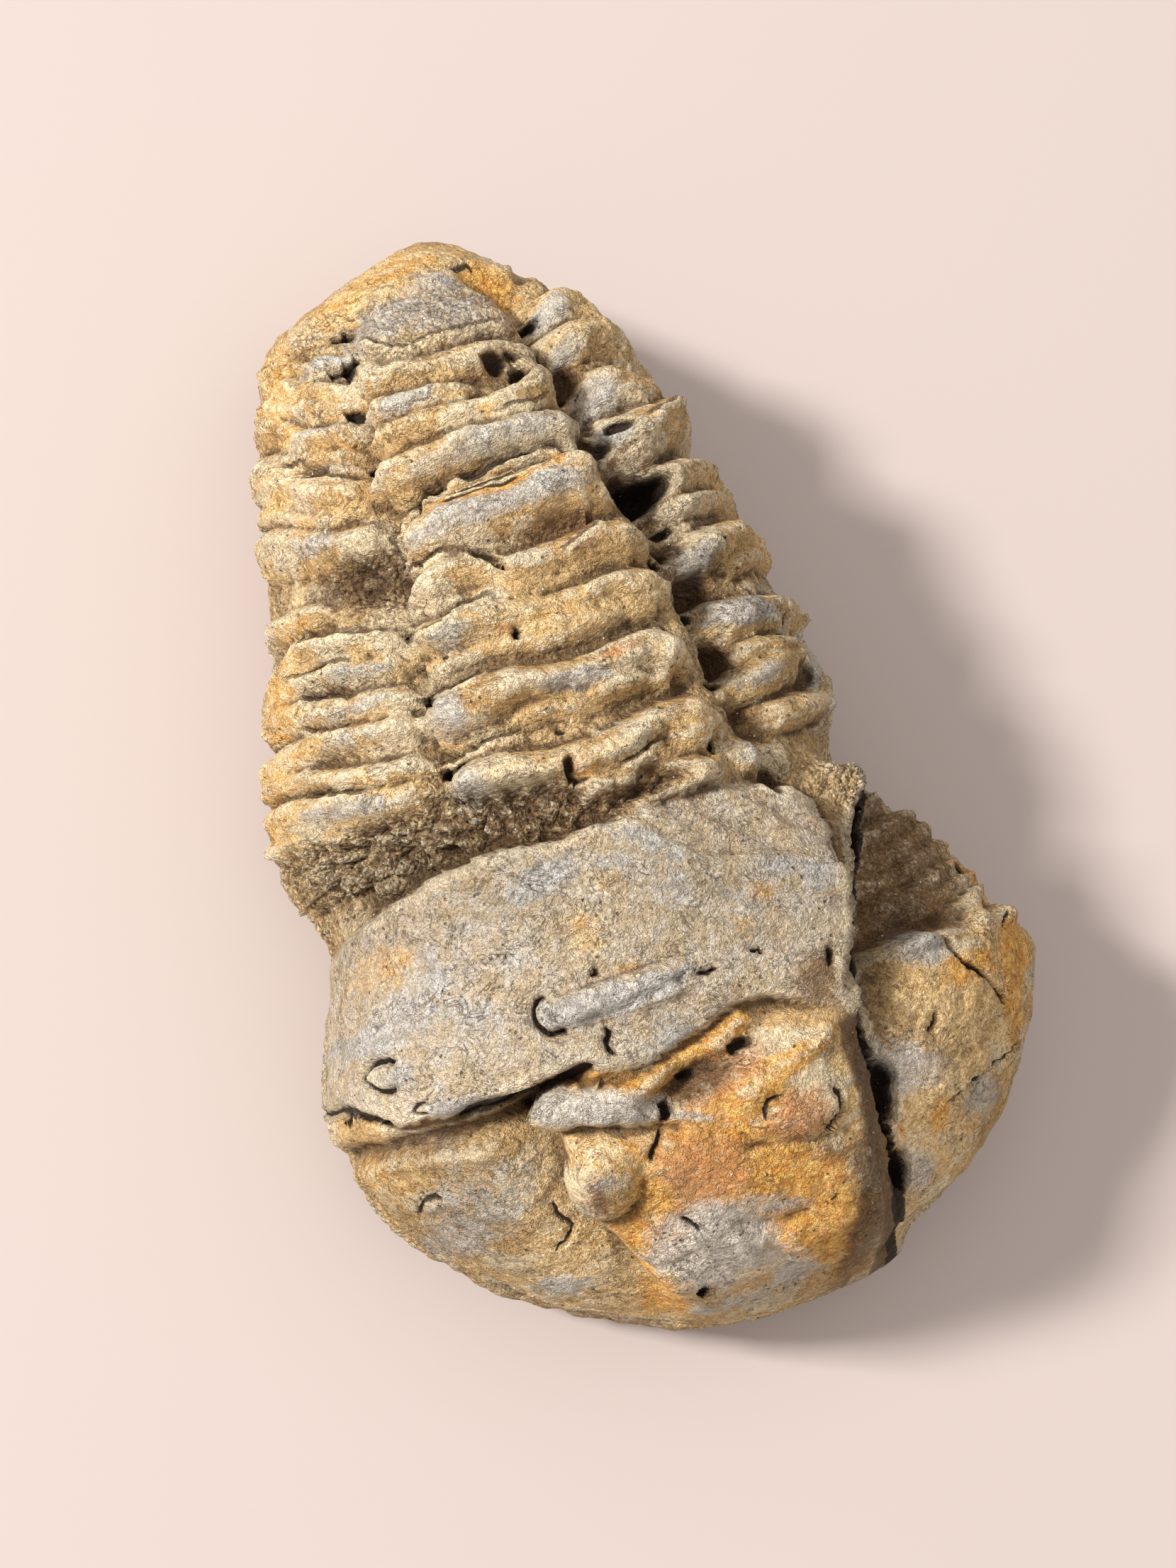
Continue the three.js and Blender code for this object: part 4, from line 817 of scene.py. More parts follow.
# Sharp forms are read at x and y, which stray a little, and soft forms at the gentle pair, which
# strays half as much
shift_x, shift_y = wander(11), wander(31)
x, y = x0 + shift_x, y0 + shift_y
gentle_x, gentle_y = x0 + 0.5 * shift_x, y0 + 0.5 * shift_y

# Fields that several parts of the relief share: chunks of broken stone, and thin layers in steps
LAYERS = 4
border, chunk = lumps(point * (1, 1, 0.6), scale=1.25, seed=5)
small_chunk = lumps(point, scale=0.7, seed=9)[1]
bedding = noise(point * (0.6, 1, 0.6), scale=1.9, octaves=4, seed=121)
layered = stairs(bedding * LAYERS, soft=0.12) / LAYERS


# The ringed trunk and tail ------------------------------------------------------------------------
LOBE_HEIGHT = 0.9
FURROW_WIDTH = 1.3
LEFT_FURROW_DEPTH, RIGHT_FURROW_DEPTH = 1.0, 2.0
LOOSE_FROM = 1.3  # the ground of a hollow deeper than this is loose
LOOSE_RELIEF = 0.7
RUBBLE_DEPTH, RUBBLE_HOLE_DEPTH = 0.9, 0.6
BROKEN_FACE_DEPTH = 0.3


def middle_lobe():
    """The lobe raised between the two furrows, and the furrows, of which the right one is deeper."""
    left_edge, right_edge = along(left_furrow, y0), along(right_furrow, y0)
    across = np.clip((2 * x0 - left_edge - right_edge) / (right_edge - left_edge), -1, 1)
    lobe = LOBE_HEIGHT * np.maximum(0, 1 - across**2)
    furrows = LEFT_FURROW_DEPTH * swell(x0 - left_edge, FURROW_WIDTH)
    furrows += RIGHT_FURROW_DEPTH * swell(x0 - right_edge - 0.4, FURROW_WIDTH)
    return between(36.5, 32, y0) * (lobe - furrows)


def rings_and_ribs():
    """The ridges of the trunk, their bulging ends, the grooves between them and the flakes on them."""
    ground = BETWEEN_RIBS * between(37.5, 33.5, y0)
    for path, width, height in RINGS:
        wider, higher = width * RING_WIDER, height * RING_HIGHER
        raise_ridge(ground, gentle_x, gentle_y, path, wider, higher, BETWEEN_RIBS)
    for path, width, height in LEFT_RIBS:
        longer, wider = run_on(path, 0), width * LEFT_RIB_WIDER
        raise_ridge(ground, gentle_x, gentle_y, longer, wider, height, BETWEEN_RIBS)
    for path, width, height in RIGHT_RIBS:
        longer, wider, higher = run_on(path, -1), width * RIGHT_RIB_WIDER, height * RIGHT_RIB_HIGHER
        raise_ridge(ground, gentle_x, gentle_y, longer, wider, higher, BETWEEN_RIGHT_RIBS, lean=0.15)
    for *spot, height in RING_BULBS + RIB_BULBS:
        ground += height * bump(gentle_x, gentle_y, spot, flatness=1.4) * BULB_SHARE
    for path, width, depth in RING_GROOVES + LEFT_GROOVES:
        cut_groove(ground, x, y, path, width, depth * GROOVE_DEEPER)
    for path, width, height in FLAKES:
        raise_flake(ground, x, y, path, width, height * FLAKE_HIGHER)
    return ground


def broad_hollows():
    """How deep the broad hollows are, and where their ground is loose."""
    sunk, loose = np.zeros(count), np.zeros(count)
    for *spot, depth in HOLLOWS:
        here = bump(gentle_x, gentle_y, spot, flatness=1.5)
        sunk += depth * here
        loose = np.maximum(loose, here * (depth > LOOSE_FROM))
    return sunk, loose


def rubble_relief(rubble, firm):
    """Loose-grained stone takes over from the trunk where there is rubble, and has holes of its own."""
    holed = between(0.08, -0.25, noise(point, scale=1.3, octaves=2, seed=141))
    holes = holed * RUBBLE_HOLE_DEPTH * rubble
    return firm * (1 - 0.75 * rubble) + rubble * (-RUBBLE_DEPTH + grains) - holes


ribs = rings_and_ribs()
sunk_ground, loose = broad_hollows()
broken_face = between(14.9, 15.6, x0 + 0.35 * y0) * between(5.5, 4, y0)
grains = 1.1 * (chunk - 0.5) * between(0, 0.25, border) + 0.8 * (small_chunk - 0.5)
grains -= 0.3 * between(0.25, 0, border)
rubble = between(-0.8, 0.8, inside(RUBBLE, x, y))
streaky = noise(point * (0.22, 1, 0.5), scale=0.75, octaves=3, seed=131)

firm_trunk = middle_lobe() - sunk_ground + ribs * (1 - broken_face) - BROKEN_FACE_DEPTH * broken_face
trunk = rubble_relief(rubble, firm_trunk) + LOOSE_RELIEF * loose * grains
trunk += (0.8 * layered + 0.13 * streaky) * (1 - rubble) * between(39, 35, y0)


# The head -----------------------------------------------------------------------------------------
GLABELLA_HEIGHT, CHEEK_DEPTH = 1.9, 0.6
FALL_TO_FRACTURE = 2.3
HEAD_FURROW_DEPTH, DEEPER_AT_KNOB = 1.6, 1.2
HEAD_FURROW_SIDES = (1.0, 2.2)  # how broad it is towards the glabella, and towards the cheek
NECK_HOLLOW_DEPTH = 1.6
KNOB_HEIGHT, KNOB_SUNK = 3.9, 0.8
CREST_SIDES = (0.6, 0.975)  # the rear of a crest is steeper than its front


def head_relief():
    """The glabella, the left cheek and the neck between them and the slab."""
    ground = GLABELLA_HEIGHT * between(-0.9, 1.3, inside(GLABELLA, gentle_x, gentle_y)) - CHEEK_DEPTH
    ground -= FALL_TO_FRACTURE * np.clip(1 - to_fracture / 2.6, 0, 1) * between(-21.5, -24, y0)
    pick, d, side, run, length = to_path(HEAD_FURROW, gentle_x, gentle_y, margin=8)
    furrow_depth = HEAD_FURROW_DEPTH + DEEPER_AT_KNOB * between(-33, -27, y0[pick])
    ground[pick] -= furrow_depth * swell(d, np.where(side > 0, *HEAD_FURROW_SIDES))
    raise_crest(ground, gentle_x, gentle_y, BORDER_FURROW, height=-1.5, width=0.85)
    raise_ridge(ground, gentle_x, gentle_y, NECK_RING, width=1.4, height=2.2, base=1.1, lean=0.1)
    cut_groove(ground, x, y, NECK_FURROW, width=0.5, depth=1.1)
    raise_crest(ground, x, y, BORDER_CREST, height=0.8, width=0.8)
    ground += swellings
    ground -= NECK_HOLLOW_DEPTH * bump(x, y, NECK_HOLLOW, flatness=1.5)
    knob = np.sqrt(np.clip(1 - oval(x, y, *KNOB), 0, 1))
    ground = np.where(knob > 0, np.maximum(ground, KNOB_HEIGHT * knob - KNOB_SUNK), ground)
    for path, height in HEAD_CRESTS:
        pick, d, side, run, length = to_path(path, x, y, margin=5)
        profile = swell(d, np.where(side > 0, *CREST_SIDES))
        ground[pick] += height * fade_ends(run, length, over=1.2) * profile
    for path, width, depth in HEAD_GROOVES:
        cut_groove(ground, x, y, path, width, depth)
    raise_crest(ground, x, y, FRONT_RIDGE, height=0.7, width=0.7)
    ground += 0.3 * layered
    return ground * (1 - 0.9 * between(0.45, 0.95, -normal[:, 1]) * between(-33, -40, y0))


fracture_line = [spot[:2] for spot in FRACTURE]
to_fracture = to_path(fracture_line, x, y, margin=200, steps=2)[1]
fracture_side = np.sign(x - along(curve(fracture_line, 1), y))
swellings = np.zeros(count)
for *spot, height in LOBES:
    swellings += height * bump(gentle_x, gentle_y, spot, flatness=1.6)
in_head = between(-16, -18, y0)
main = in_head * head_relief() + (1 - in_head) * trunk


# The slab of stone over the neck ------------------------------------------------------------------
BURROW_RADIUS, BURROW_HEIGHT = 1.25, 1.2
STEP_DEPTH = 0.45
STEP_SLOPE, STEP_REACH = 0.3, 3.2  # beyond the step the slab falls off this steeply, as far as this
SCRATCH_DEPTH = 0.13


def slab_lift():
    """How far the slab rises over the arch of the back: straight up, so that it ends in steep edges."""
    reach = np.maximum(np.where(x0 > axis, right - axis, axis - left), 1e-3)
    share_across = np.clip(np.abs(x0 - axis) / reach, 0, 1)
    arch_height = (top - middle) * np.sqrt(1 - share_across**ARCH_SQUARENESS)
    slab_height = (top - middle + SLAB_RISE * (1 - u**8)) * np.sqrt(1 - share_across**SLAB_SQUARENESS)
    return slab_height - arch_height


def slab_relief():
    """The burrow that lies on the slab, the step in its top layer, its worn edge and its uneven top."""
    ground = np.zeros(count)
    pick, d, side, run, length = to_path(BURROW, gentle_x, gentle_y, margin=5)
    roundness = np.sqrt(np.clip(1 - (d / BURROW_RADIUS) ** 2, 0, 1))
    ground[pick] += BURROW_HEIGHT * fade_ends(run, length, over=1.2, least=0.35) * roundness
    cut_groove(ground, gentle_x, gentle_y, BURROW_GROOVE, width=0.35, depth=0.7)
    pick, d, side, run, length = to_path(SLAB_STEP, x, y, margin=30)
    beyond = np.zeros(count)
    beyond[pick] = np.where(side > 0, d, 0)
    flaked = between(0, 0.35, beyond) * between(-3.6, -2.2, x)
    scratches = np.sin(2.6 * (0.8 * x + 0.6 * y) + 1.5 * noise(point, scale=2, octaves=2, seed=77))
    fall = STEP_SLOPE * np.minimum(beyond, STEP_REACH)
    ground += flaked * (SCRATCH_DEPTH * scratches - STEP_DEPTH - fall)
    ground += 0.14 * noise(point, scale=3.5, octaves=3, seed=61) - 0.35 * between(1.0, 0.0, slab_depth)
    for *spot, height in BURROW_ENDS:
        ground += height * bump(gentle_x, gentle_y, spot, flatness=2)
    return ground + 0.25 * layered


slab_depth = inside(SLAB, x, y)
on_slab = between(-0.16, 0.22, slab_depth) * on_back


# Right of the fracture the stone stands lower -----------------------------------------------------
BORDER_STEP = 0.3


def right_relief(cheek):
    """The right cheek with its border, and behind it the broken ends of the ribs."""
    rib_ends = np.full(count, BETWEEN_RIB_ENDS)
    for path, width, height in RIB_ENDS:
        wider, higher = width * RIB_END_WIDER, height * RIB_END_HIGHER
        raise_ridge(rib_ends, gentle_x, gentle_y, path, wider, higher, BETWEEN_RIB_ENDS, lean=0.1)
    rear_face = between(1.6, 0.2, np.abs(y - along(cheek_line, x)))
    rib_ends += rear_face * (0.5 * (chunk - 0.5) + 0.3 * (small_chunk - 0.5))
    border_step = np.zeros(count)
    pick, d, side, run, length = to_path(CHEEK_BORDER, gentle_x, gentle_y, margin=6)
    outside = np.where(side > 0, between(0, 0.35, d) * between(4, 1.5, d), 0)
    border_step[pick] = BORDER_STEP * fade_ends(run, length, over=2) * outside
    return swellings - cheek * border_step + (1 - cheek) * (0.75 * rib_ends + 0.8 * layered)


cheek_line = curve(CHEEK_EDGE, 0)
cheek = between(along(cheek_line, x) + 0.9, along(cheek_line, x) - 0.6, y)
share_left = cheek * along(curve(CHEEK_SHARE, 0), y) + (1 - cheek) * along(curve(RIB_END_SHARE, 0), y)
blend_right = between(BELLY_HEIGHT - 2, BELLY_HEIGHT + 3, z0) * between(-3, -7, y0)
right_part = blend_right * right_relief(cheek) + (1 - blend_right) * main
right_mask = (fracture_side > 0) * on_back * between(0, 0.3, to_fracture) * between(-2.4, -4.4, y0)
on_shoulder = bump(x, y, SHOULDER, flatness=1.5)
shoulder = on_shoulder * (1.5 + 0.9 * (chunk - 0.5) + 0.5 * (small_chunk - 0.5))


# Pits, holes and cracks ---------------------------------------------------------------------------
def holes_and_pits():
    """How deep the holes go, how far inside a rim a point lies, and where shallow pits only get painted
    shade.
    """
    depths, shallow_pit_shade = np.zeros(count), np.zeros(count)
    into_hole = np.full(count, -1.0)
    for cx, cy, length, width, turn, depth in PITS:
        r = np.sqrt(oval(x, y, cx, cy, length, width, turn))
        depths = np.maximum(depths, depth * HOLE_DEEPER * between(1.3, 0.55, r))
        if depth > 1.5 or min(length, width) < 0.6:
            into_hole = np.maximum(into_hole, (1.05 - r) * min(length, width) * min(1, depth / 0.8))
        else:
            shallow_pit_shade = np.maximum(shallow_pit_shade, between(1.35, 0.5, r))
    return depths, shallow_pit_shade, into_hole


def fine_cracks():
    """The cracks' relief, the signed distance from the nearest one and half its width there."""
    relief, half = np.zeros(count), np.zeros(count)
    from_crack = np.full(count, 9.0)
    for path, width, depth in CRACKS:
        cut_crack(relief, x, y, path, width * CRACK_WIDER, depth)
        pick, d, side, run, length = to_path(path, x, y, margin=1.2)
        near = d < np.minimum(np.abs(from_crack[pick]), 0.9)
        from_crack[pick[near]] = (d * side)[near]
        half[pick[near]] = (0.7 * width * fade_ends(run, length, over=0.5))[near]
    return relief, from_crack, half


def flake_edges():
    """The signed distance from the nearest flake's edge, and how clearly that flake shows."""
    from_edge, shows = np.full(count, -0.9), np.zeros(count)
    for path, width, height in FLAKES:
        pick, d, side, run, length = to_path(path, x, y, margin=2)
        seen = between(1.6, 0.8, d) * fade_ends(run, length, over=0.6)
        near = seen > shows[pick]
        from_edge[pick[near]] = np.clip(d * side, -0.9, 0.9)[near]
        shows[pick[near]] = seen[near]
    return from_edge, shows


holes, shallow_pit_shade, into_hole = holes_and_pits()
cracks, from_crack, crack_half = fine_cracks()
from_flake, flake_shows = flake_edges()


# All relief together, on the skin -----------------------------------------------------------------
def rough_sides():
    """Rough, layered matrix round the sides, under the fossil itself."""
    rough = 0.45 * noise(point, scale=4.5, octaves=3, seed=71)
    rough += 0.3 * (chunk - 0.5) * between(0, 0.3, border)
    broad = np.sin(0.5 * y0 + 0.3 * z0) * np.sin(0.37 * x0 - 0.45 * z0 + 1)
    layers = 0.16 * np.sin(4.2 * z0 + 2.2 * noise(point, scale=4, octaves=2, seed=81))
    return 0.45 * broad + rough + layers


def trimmed_off():
    """How much is cut off the left and right sides, so that the outline from above is right."""
    from_left = along(curve(LEFT_TRIM, 0), y0) * between(left + 5, left + 1.5, x0)
    from_right = along(curve(RIGHT_TRIM, 0), y0) * between(right - 5, right - 1.5, x0)
    return (from_left + from_right) * between(0, 4, z0)


def place_on_skin():
    """Moves the skin out by the relief, lifts the slab, sinks the holes and lowers the right part."""
    grown = (1 - right_mask) * ((1 - on_slab) * main + on_slab * slab_relief()) + right_mask * right_part
    grown = over_belly * (grown + shoulder * (1 - on_slab) + cracks) + sides * rough_sides() - trimmed_off()
    uneven = 0.17 * noise(point, scale=1.9, octaves=3, seed=91)
    uneven += 0.15 * noise(point, scale=0.75, octaves=2, seed=101)
    grown += (1 - 0.5 * on_slab) * uneven
    hold = between(0.2, 3, z0) * (1 - u**20)
    moved = point + normal * (grown * hold)[:, None]
    moved[:, 2] += on_slab * slab_lift() * (1 - right_mask) - over_belly * hold * holes
    over = moved[:, 2] - BELLY_HEIGHT
    moved[:, 2] = BELLY_HEIGHT + over * np.where(over > 0, 1 + (share_left - 1) * right_mask, 1)
    return moved


sides = between(BELLY_HEIGHT + 3, BELLY_HEIGHT - 1, z0)
over_belly = between(BELLY_HEIGHT - 5, BELLY_HEIGHT, z0)
placed = place_on_skin()


# The open fracture --------------------------------------------------------------------------------
def fracture_width():
    """How wide the fracture is beside each point."""
    pick, d, side, run, length = to_path(fracture_line, x, y, margin=200, steps=1)
    steps = np.linalg.norm(np.diff(np.array(fracture_line), axis=0), axis=1)
    stations = np.concatenate([[0], np.cumsum(steps)])
    widths = np.zeros(count)
    widths[pick] = np.interp(run, stations, [width for _, _, width in FRACTURE])
    return 0.3 + 0.2 * widths


rear_end, front_end = FRACTURE_ENDS
from_rim = to_fracture - fracture_width() / 2
cleft = on_back & (y0 < rear_end) & (y0 > front_end)
at_rim = cleft & (np.abs(from_rim) < RIM_REACH)
placed[:, 0] -= np.where(at_rim, fracture_side * (from_rim - RIM_GAP * np.sign(from_rim)), 0)
fading = between(rear_end, rear_end - 1.5, y0) * between(front_end, front_end + 2.5, y0)
opened = np.where(cleft & (from_rim < 0), fading, 0)
crack_floor = CRACK_FLOOR + noise(point, scale=1.6, octaves=3, seed=111) + 1.2 * swell(to_fracture, 0.2)
placed[:, 2] -= np.maximum(placed[:, 2] - crack_floor, 0) * opened
above_floor = np.where(fracture_side < 0, placed[:, 2] - crack_floor, 0)  # of the left wall only
placed[:, 2] = np.where(z0 < 1e-6, 0, np.maximum(placed[:, 2], 0))


# Masks for the looks, as attributes of the mesh ---------------------------------------------------
CLOSE, WIDE = 4, 30  # steps of blurring that level the ground close by, and more widely


def blurred(values, steps):
    for _ in range(steps):
        padded = np.pad(values, ((1, 1), (0, 0)), "edge")
        values = (padded[:-2] + 2 * padded[1:-1] + padded[2:]) / 4
        values = (np.roll(values, 1, 1) + 2 * values + np.roll(values, -1, 1)) / 4
    return values


def hollows_and_edges():
    """Where the relief lies below or stands above the ground round it, close by and more widely."""
    height = np.einsum("ij,ij->i", placed - point, normal)
    grid = np.zeros((ROWS + 1, COLUMNS))
    grid[row, column] = height
    grid[0], grid[ROWS] = height[row == 0].mean(), height[row == ROWS].mean()
    over_close = (grid - blurred(grid, CLOSE))[row, column]
    over_wide = (grid - blurred(grid, WIDE))[row, column]
    below = np.clip(-over_close / 0.35, 0, 1) * 0.6 + np.clip(-over_wide / 1.1, 0, 1) * 0.6
    standing = np.clip(over_close / 0.3, 0, 1) * 0.7 + np.clip(over_wide / 1.2, 0, 1) * 0.4
    # The first mask, for dirt and painted shade, also takes in the opened fracture and the shallow pits
    return np.clip(below + 0.9 * opened + 0.85 * shallow_pit_shade, 0, 1), np.clip(standing, 0, 1)


def toned(places):
    """How strong a tone is at each point, from -1 to 1."""
    tone = np.zeros(count)
    for cx, cy, length, width, turn, strength in places:
        spot = (cx, cy, length * STAIN_WIDER, width * STAIN_WIDER, turn)
        tone += strength * bump(x, y, spot, flatness=1.3)
    return np.clip(tone * on_back, -MOST_TONE, MOST_TONE) / MOST_TONE


def keep(name, values):
    mesh.attributes.new(name, "FLOAT", "POINT").data.foreach_set("value", values.astype(np.float32))


def keep_stains_and_painted_light(painted_flank_shade):
    keep("ochre", toned(OCHRE_PLACES))
    keep("blue_grey", toned(BLUE_GREY_PLACES))
    keep("orange", toned(ORANGE_PLACES))
    keep("sand_and_painted_light", toned(SAND_AND_PAINTED_LIGHT_PLACES))
    keep("rust", toned(RUST_PLACES))
    keep("brown", np.maximum(toned(BROWN_STAIN_AND_SHADE_PLACES), painted_flank_shade))
    # Painted light and shade: the whole stone a little darker, with brighter and darker patches
    keep("shade", 0.93 + 1.3 * toned(PAINTED_LIGHT_AND_SHADE_PLACES))


def keep_ground(painted_flank_shade):
    """Dirt with painted shade, wear with painted highlight, grit, the slab and the thin layers."""
    hollow, edge = hollows_and_edges()
    low_ground = between(-0.1, -0.5, ribs) * (1 - in_head) * on_back
    crumbly = (rubble + 0.5 * low_ground + 0.9 * loose) * (1 - on_slab) * on_back
    keep("hollow", np.maximum(hollow, 0.6 * painted_flank_shade))
    keep("edge", edge * (1 - painted_flank_shade))
    keep("grit", np.clip(crumbly + 0.5 * sides + 0.8 * on_shoulder, 0, 1))
    keep("slab", on_slab * (1 - right_mask))
    keep("layer", np.clip(0.5 + layered, 0, 1))


def keep_lines():
    """Signed distances, so that flakes, holes, cracks and the fracture get edges finer than the mesh."""
    # How far past the rim the painted shade of the fracture reaches: on the right, beside the slab, it
    # stands for the shadow of the slab's wall
    past_rim = np.where(fracture_side > 0, 0.3 * between(-23, -21, y0), 0.5)
    by_fracture = on_back & (y0 < FRACTURE_ENDS[0] + 0.1)
    keep("from_flake", from_flake)
    keep("flake", flake_shows * (1 - on_slab) * on_back)
    keep("into_hole", into_hole)
    keep("from_crack", from_crack)
    keep("crack_half", crack_half * on_back)
    keep("from_gap", np.where(by_fracture, np.clip(from_rim - past_rim, -1, 3), 3))
    keep("above_floor", above_floor)


# Painted shade on the steep side of the glabella beside the fracture, laid on through the brown and dirt
# tones
painted_flank_shade = between(3, 1.7, to_fracture) * (fracture_side < 0) * between(-21.8, -23, y0) * on_back
keep_stains_and_painted_light(painted_flank_shade)
keep_ground(painted_flank_shade)
keep_lines()

placed[:, :2] += BOX_SHIFT
mesh.vertices.foreach_set("co", (placed / 1000).astype(np.float32).ravel())
mesh.polygons.foreach_set("use_smooth", np.ones(len(mesh.polygons), bool))
mesh.update()
stone = bpy.data.objects.new(MESH_NAME, mesh)
bpy.context.scene.collection.objects.link(stone)


# Node helpers -------------------------------------------------------------------------------------
def tint(r, g, b):
    """A colour given as 0-255 screen values, none of them under 11."""
    return tuple(((v / 255 + 0.055) / 1.055) ** 2.4 for v in (r, g, b)) + (1,)


class Nodes:
    """Places nodes in a tree and joins them: a value given to a socket is a link or a plain number."""

    def __init__(self, tree):
        self.tree = tree

    def put(self, socket, value):
        if isinstance(value, bpy.types.NodeSocket):
            self.tree.links.new(value, socket)
        else:
            socket.default_value = value

    def add(self, kind, settings=None, **inputs):
        """Adds a node. An input is given by its name, or as i0, i1 and so on by its number."""
        node = self.tree.nodes.new(kind)
        for name, value in (settings or {}).items():
            setattr(node, name, value)
        for name, value in inputs.items():
            key = int(name[1:]) if name[0] == "i" and name[1:].isdigit() else name.replace("_", " ")
            self.put(node.inputs[key], value)
        return node

    def math(self, what, a, b):
        return self.add("ShaderNodeMath", {"operation": what}, i0=a, i1=b).outputs[0]

    def plus(self, a, b):
        return self.math("ADD", a, b)

    def minus(self, a, b):
        return self.math("SUBTRACT", a, b)

    def times(self, a, b):
        return self.math("MULTIPLY", a, b)

    def most(self, a, b):
        return self.math("MAXIMUM", a, b)

    def step(self, value, low, high, to_low=0.0, to_high=1.0):
        """to_low up to low, to_high from high on, smooth between them."""
        settings = {"interpolation_type": "SMOOTHSTEP"}
        node = self.add("ShaderNodeMapRange", settings, i0=value, i1=low, i2=high, i3=to_low, i4=to_high)
        return node.outputs[0]

    def mix(self, share, a, b, how="MIX"):
        settings = {"data_type": "RGBA", "blend_type": how}
        return self.add("ShaderNodeMix", settings, i0=share, i6=a, i7=b).outputs[2]

    def noise(self, at, scale, detail, roughness, distortion=0.0):
        shape = {"Scale": scale, "Detail": detail, "Roughness": roughness, "Distortion": distortion}
        return self.add("ShaderNodeTexNoise", Vector=at, **shape).outputs["Fac"]

    def cells(self, at, scale, output="Distance"):
        return self.add("ShaderNodeTexVoronoi", Vector=at, Scale=scale).outputs[output]

    def jitter(self, fac, size):
        """A noise brought to lie round zero, this far up and down together."""
        return self.times(self.minus(fac, 0.5), size)

    def read(self, name):
        return self.add("ShaderNodeAttribute", {"attribute_name": name}).outputs["Fac"]

    def use(self, tree, **inputs):
        node = self.add("ShaderNodeGroup")
        node.node_tree = tree
        for name, value in inputs.items():
            self.put(node.inputs[name], value)
        return node.outputs


def group(name, sockets_in, sockets_out):
    """An empty node group with these sockets: its tree, nodes, what it is given and what it puts out."""
    tree = bpy.data.node_groups.new(name, "ShaderNodeTree")
    for label, kind, value in sockets_in:
        socket = tree.interface.new_socket(label, in_out="INPUT", socket_type="NodeSocket" + kind)
        if value is not None:
            socket.default_value = value
    for label in sockets_out:
        tree.interface.new_socket(label, in_out="OUTPUT", socket_type="NodeSocketFloat")
    nodes = Nodes(tree)
    return tree, nodes, nodes.add("NodeGroupInput").outputs, nodes.add("NodeGroupOutput").inputs


# Node groups --------------------------------------------------------------------------------------
def make_ragged_mask():
    """A soft mask broken up by noise, so that a tone ends the way a stain does."""
    place, mask = ("Vector", "Vector", None), ("Mask", "Float", 0.0)
    scale, softness = ("Scale", "Float", 1.0), ("Softness", "Float", 0.15)
    tree, n, given, out = group("ragged_mask", [place, mask, scale, softness], ["Mask"])
    broken = n.noise(given["Vector"], given["Scale"], 5.0, 0.74, 0.5)
    level = n.minus(n.plus(given["Mask"], n.jitter(broken, 1.5)), 0.32)
    shown = n.step(level, n.times(given["Softness"], -1.0), given["Softness"])
    n.put(out["Mask"], n.times(shown, n.step(given["Mask"], 0.0, 0.3)))
    return tree


def make_stone_grain():
    """Heights, speckle and pits of a fine-grained limestone."""
    sockets = [("Vector", "Vector", None), ("Grit", "Float", 0.0)]
    tree, n, given, out = group("stone_grain", sockets, ["Height", "Speckle", "Pits"])
    at = given["Vector"]
    finest = n.noise(at, scale=6.5, detail=2.0, roughness=0.7)
    fine = n.noise(at, scale=2.6, detail=3.0, roughness=0.74, distortion=0.3)
    coarse = n.noise(at, scale=0.9, detail=4.0, roughness=0.66, distortion=0.5)

    levels = n.times(n.noise(at, scale=0.55, detail=5.0, roughness=0.72, distortion=0.4), 11.0)
    stair = n.step(n.math("FRACT", levels, 0.0), 0.72, 1.0)
    flaky = n.times(n.plus(n.math("FLOOR", levels, 0.0), stair), 0.095)
    gritty = n.times(n.minus(0.5, n.cells(at, 2.6)), n.times(given["Grit"], 0.5))
    ragged_pore = n.plus(n.cells(at, 1.5), n.jitter(finest, 0.5))
    pitted_here = n.step(n.noise(at, scale=0.5, detail=3.0, roughness=0.5), 0.5, 0.62)
    pits = n.times(n.step(ragged_pore, 0.2, 0.1), pitted_here)

    height = n.times(fine, 0.26)
    for part in (n.times(coarse, 0.5), flaky, n.times(finest, 0.07), gritty):
        height = n.plus(height, part)
    n.put(out["Height"], n.minus(height, n.times(pits, 0.25)))
    n.put(out["Speckle"], n.noise(at, scale=7.0, detail=2.0, roughness=0.85))
    n.put(out["Pits"], pits)
    return tree


# Weathered limestone ------------------------------------------------------------------------------
# Tones in pairs lie mixed in fine patches
BARE_STONE = tint(206, 166, 110), tint(228, 192, 136)
SLAB_STONE = tint(196, 176, 146), tint(208, 196, 180)
GRITTY_STONE = tint(178, 148, 108), tint(222, 196, 152)
OCHRE = tint(230, 172, 90), tint(252, 220, 162)
# Sandy tone, and painted light on the right cheek
SAND_AND_PAINTED_LIGHT = tint(214, 172, 112), tint(242, 210, 156)
ORANGE = tint(222, 152, 62), tint(246, 190, 100)
BLUE_GREY = tint(172, 171, 166), tint(214, 211, 206)
RUST = tint(204, 140, 90)
# Brown stain, partly painted shade
BROWN_STAIN_AND_SHADE = tint(128, 94, 58)
SHELL = tint(232, 216, 184)
PALE_MOTTLE, DARK_MOTTLE = tint(246, 232, 202), tint(140, 106, 68)
# Pale wear, and painted highlight, on raised edges
WORN_EDGE_AND_HIGHLIGHT = tint(248, 230, 196)
# Dirt, and painted shade, in the hollows
DIRT_AND_PAINTED_SHADE = tint(100, 72, 44)
FLAKE_RIM, FLAKE_SHADOW = tint(250, 228, 186), tint(84, 58, 34)
CRUMB_SHADOW = tint(70, 50, 32)
HAIRLINE = tint(86, 62, 38)
PORE = tint(66, 46, 30)
# Painted shade inside holes, cracks and the open fracture
PAINTED_SHADE_IN_OPENINGS = tint(40, 27, 18)
# Pale crystal, partly a painted glint
CRYSTAL_AND_GLINT = tint(248, 244, 234)


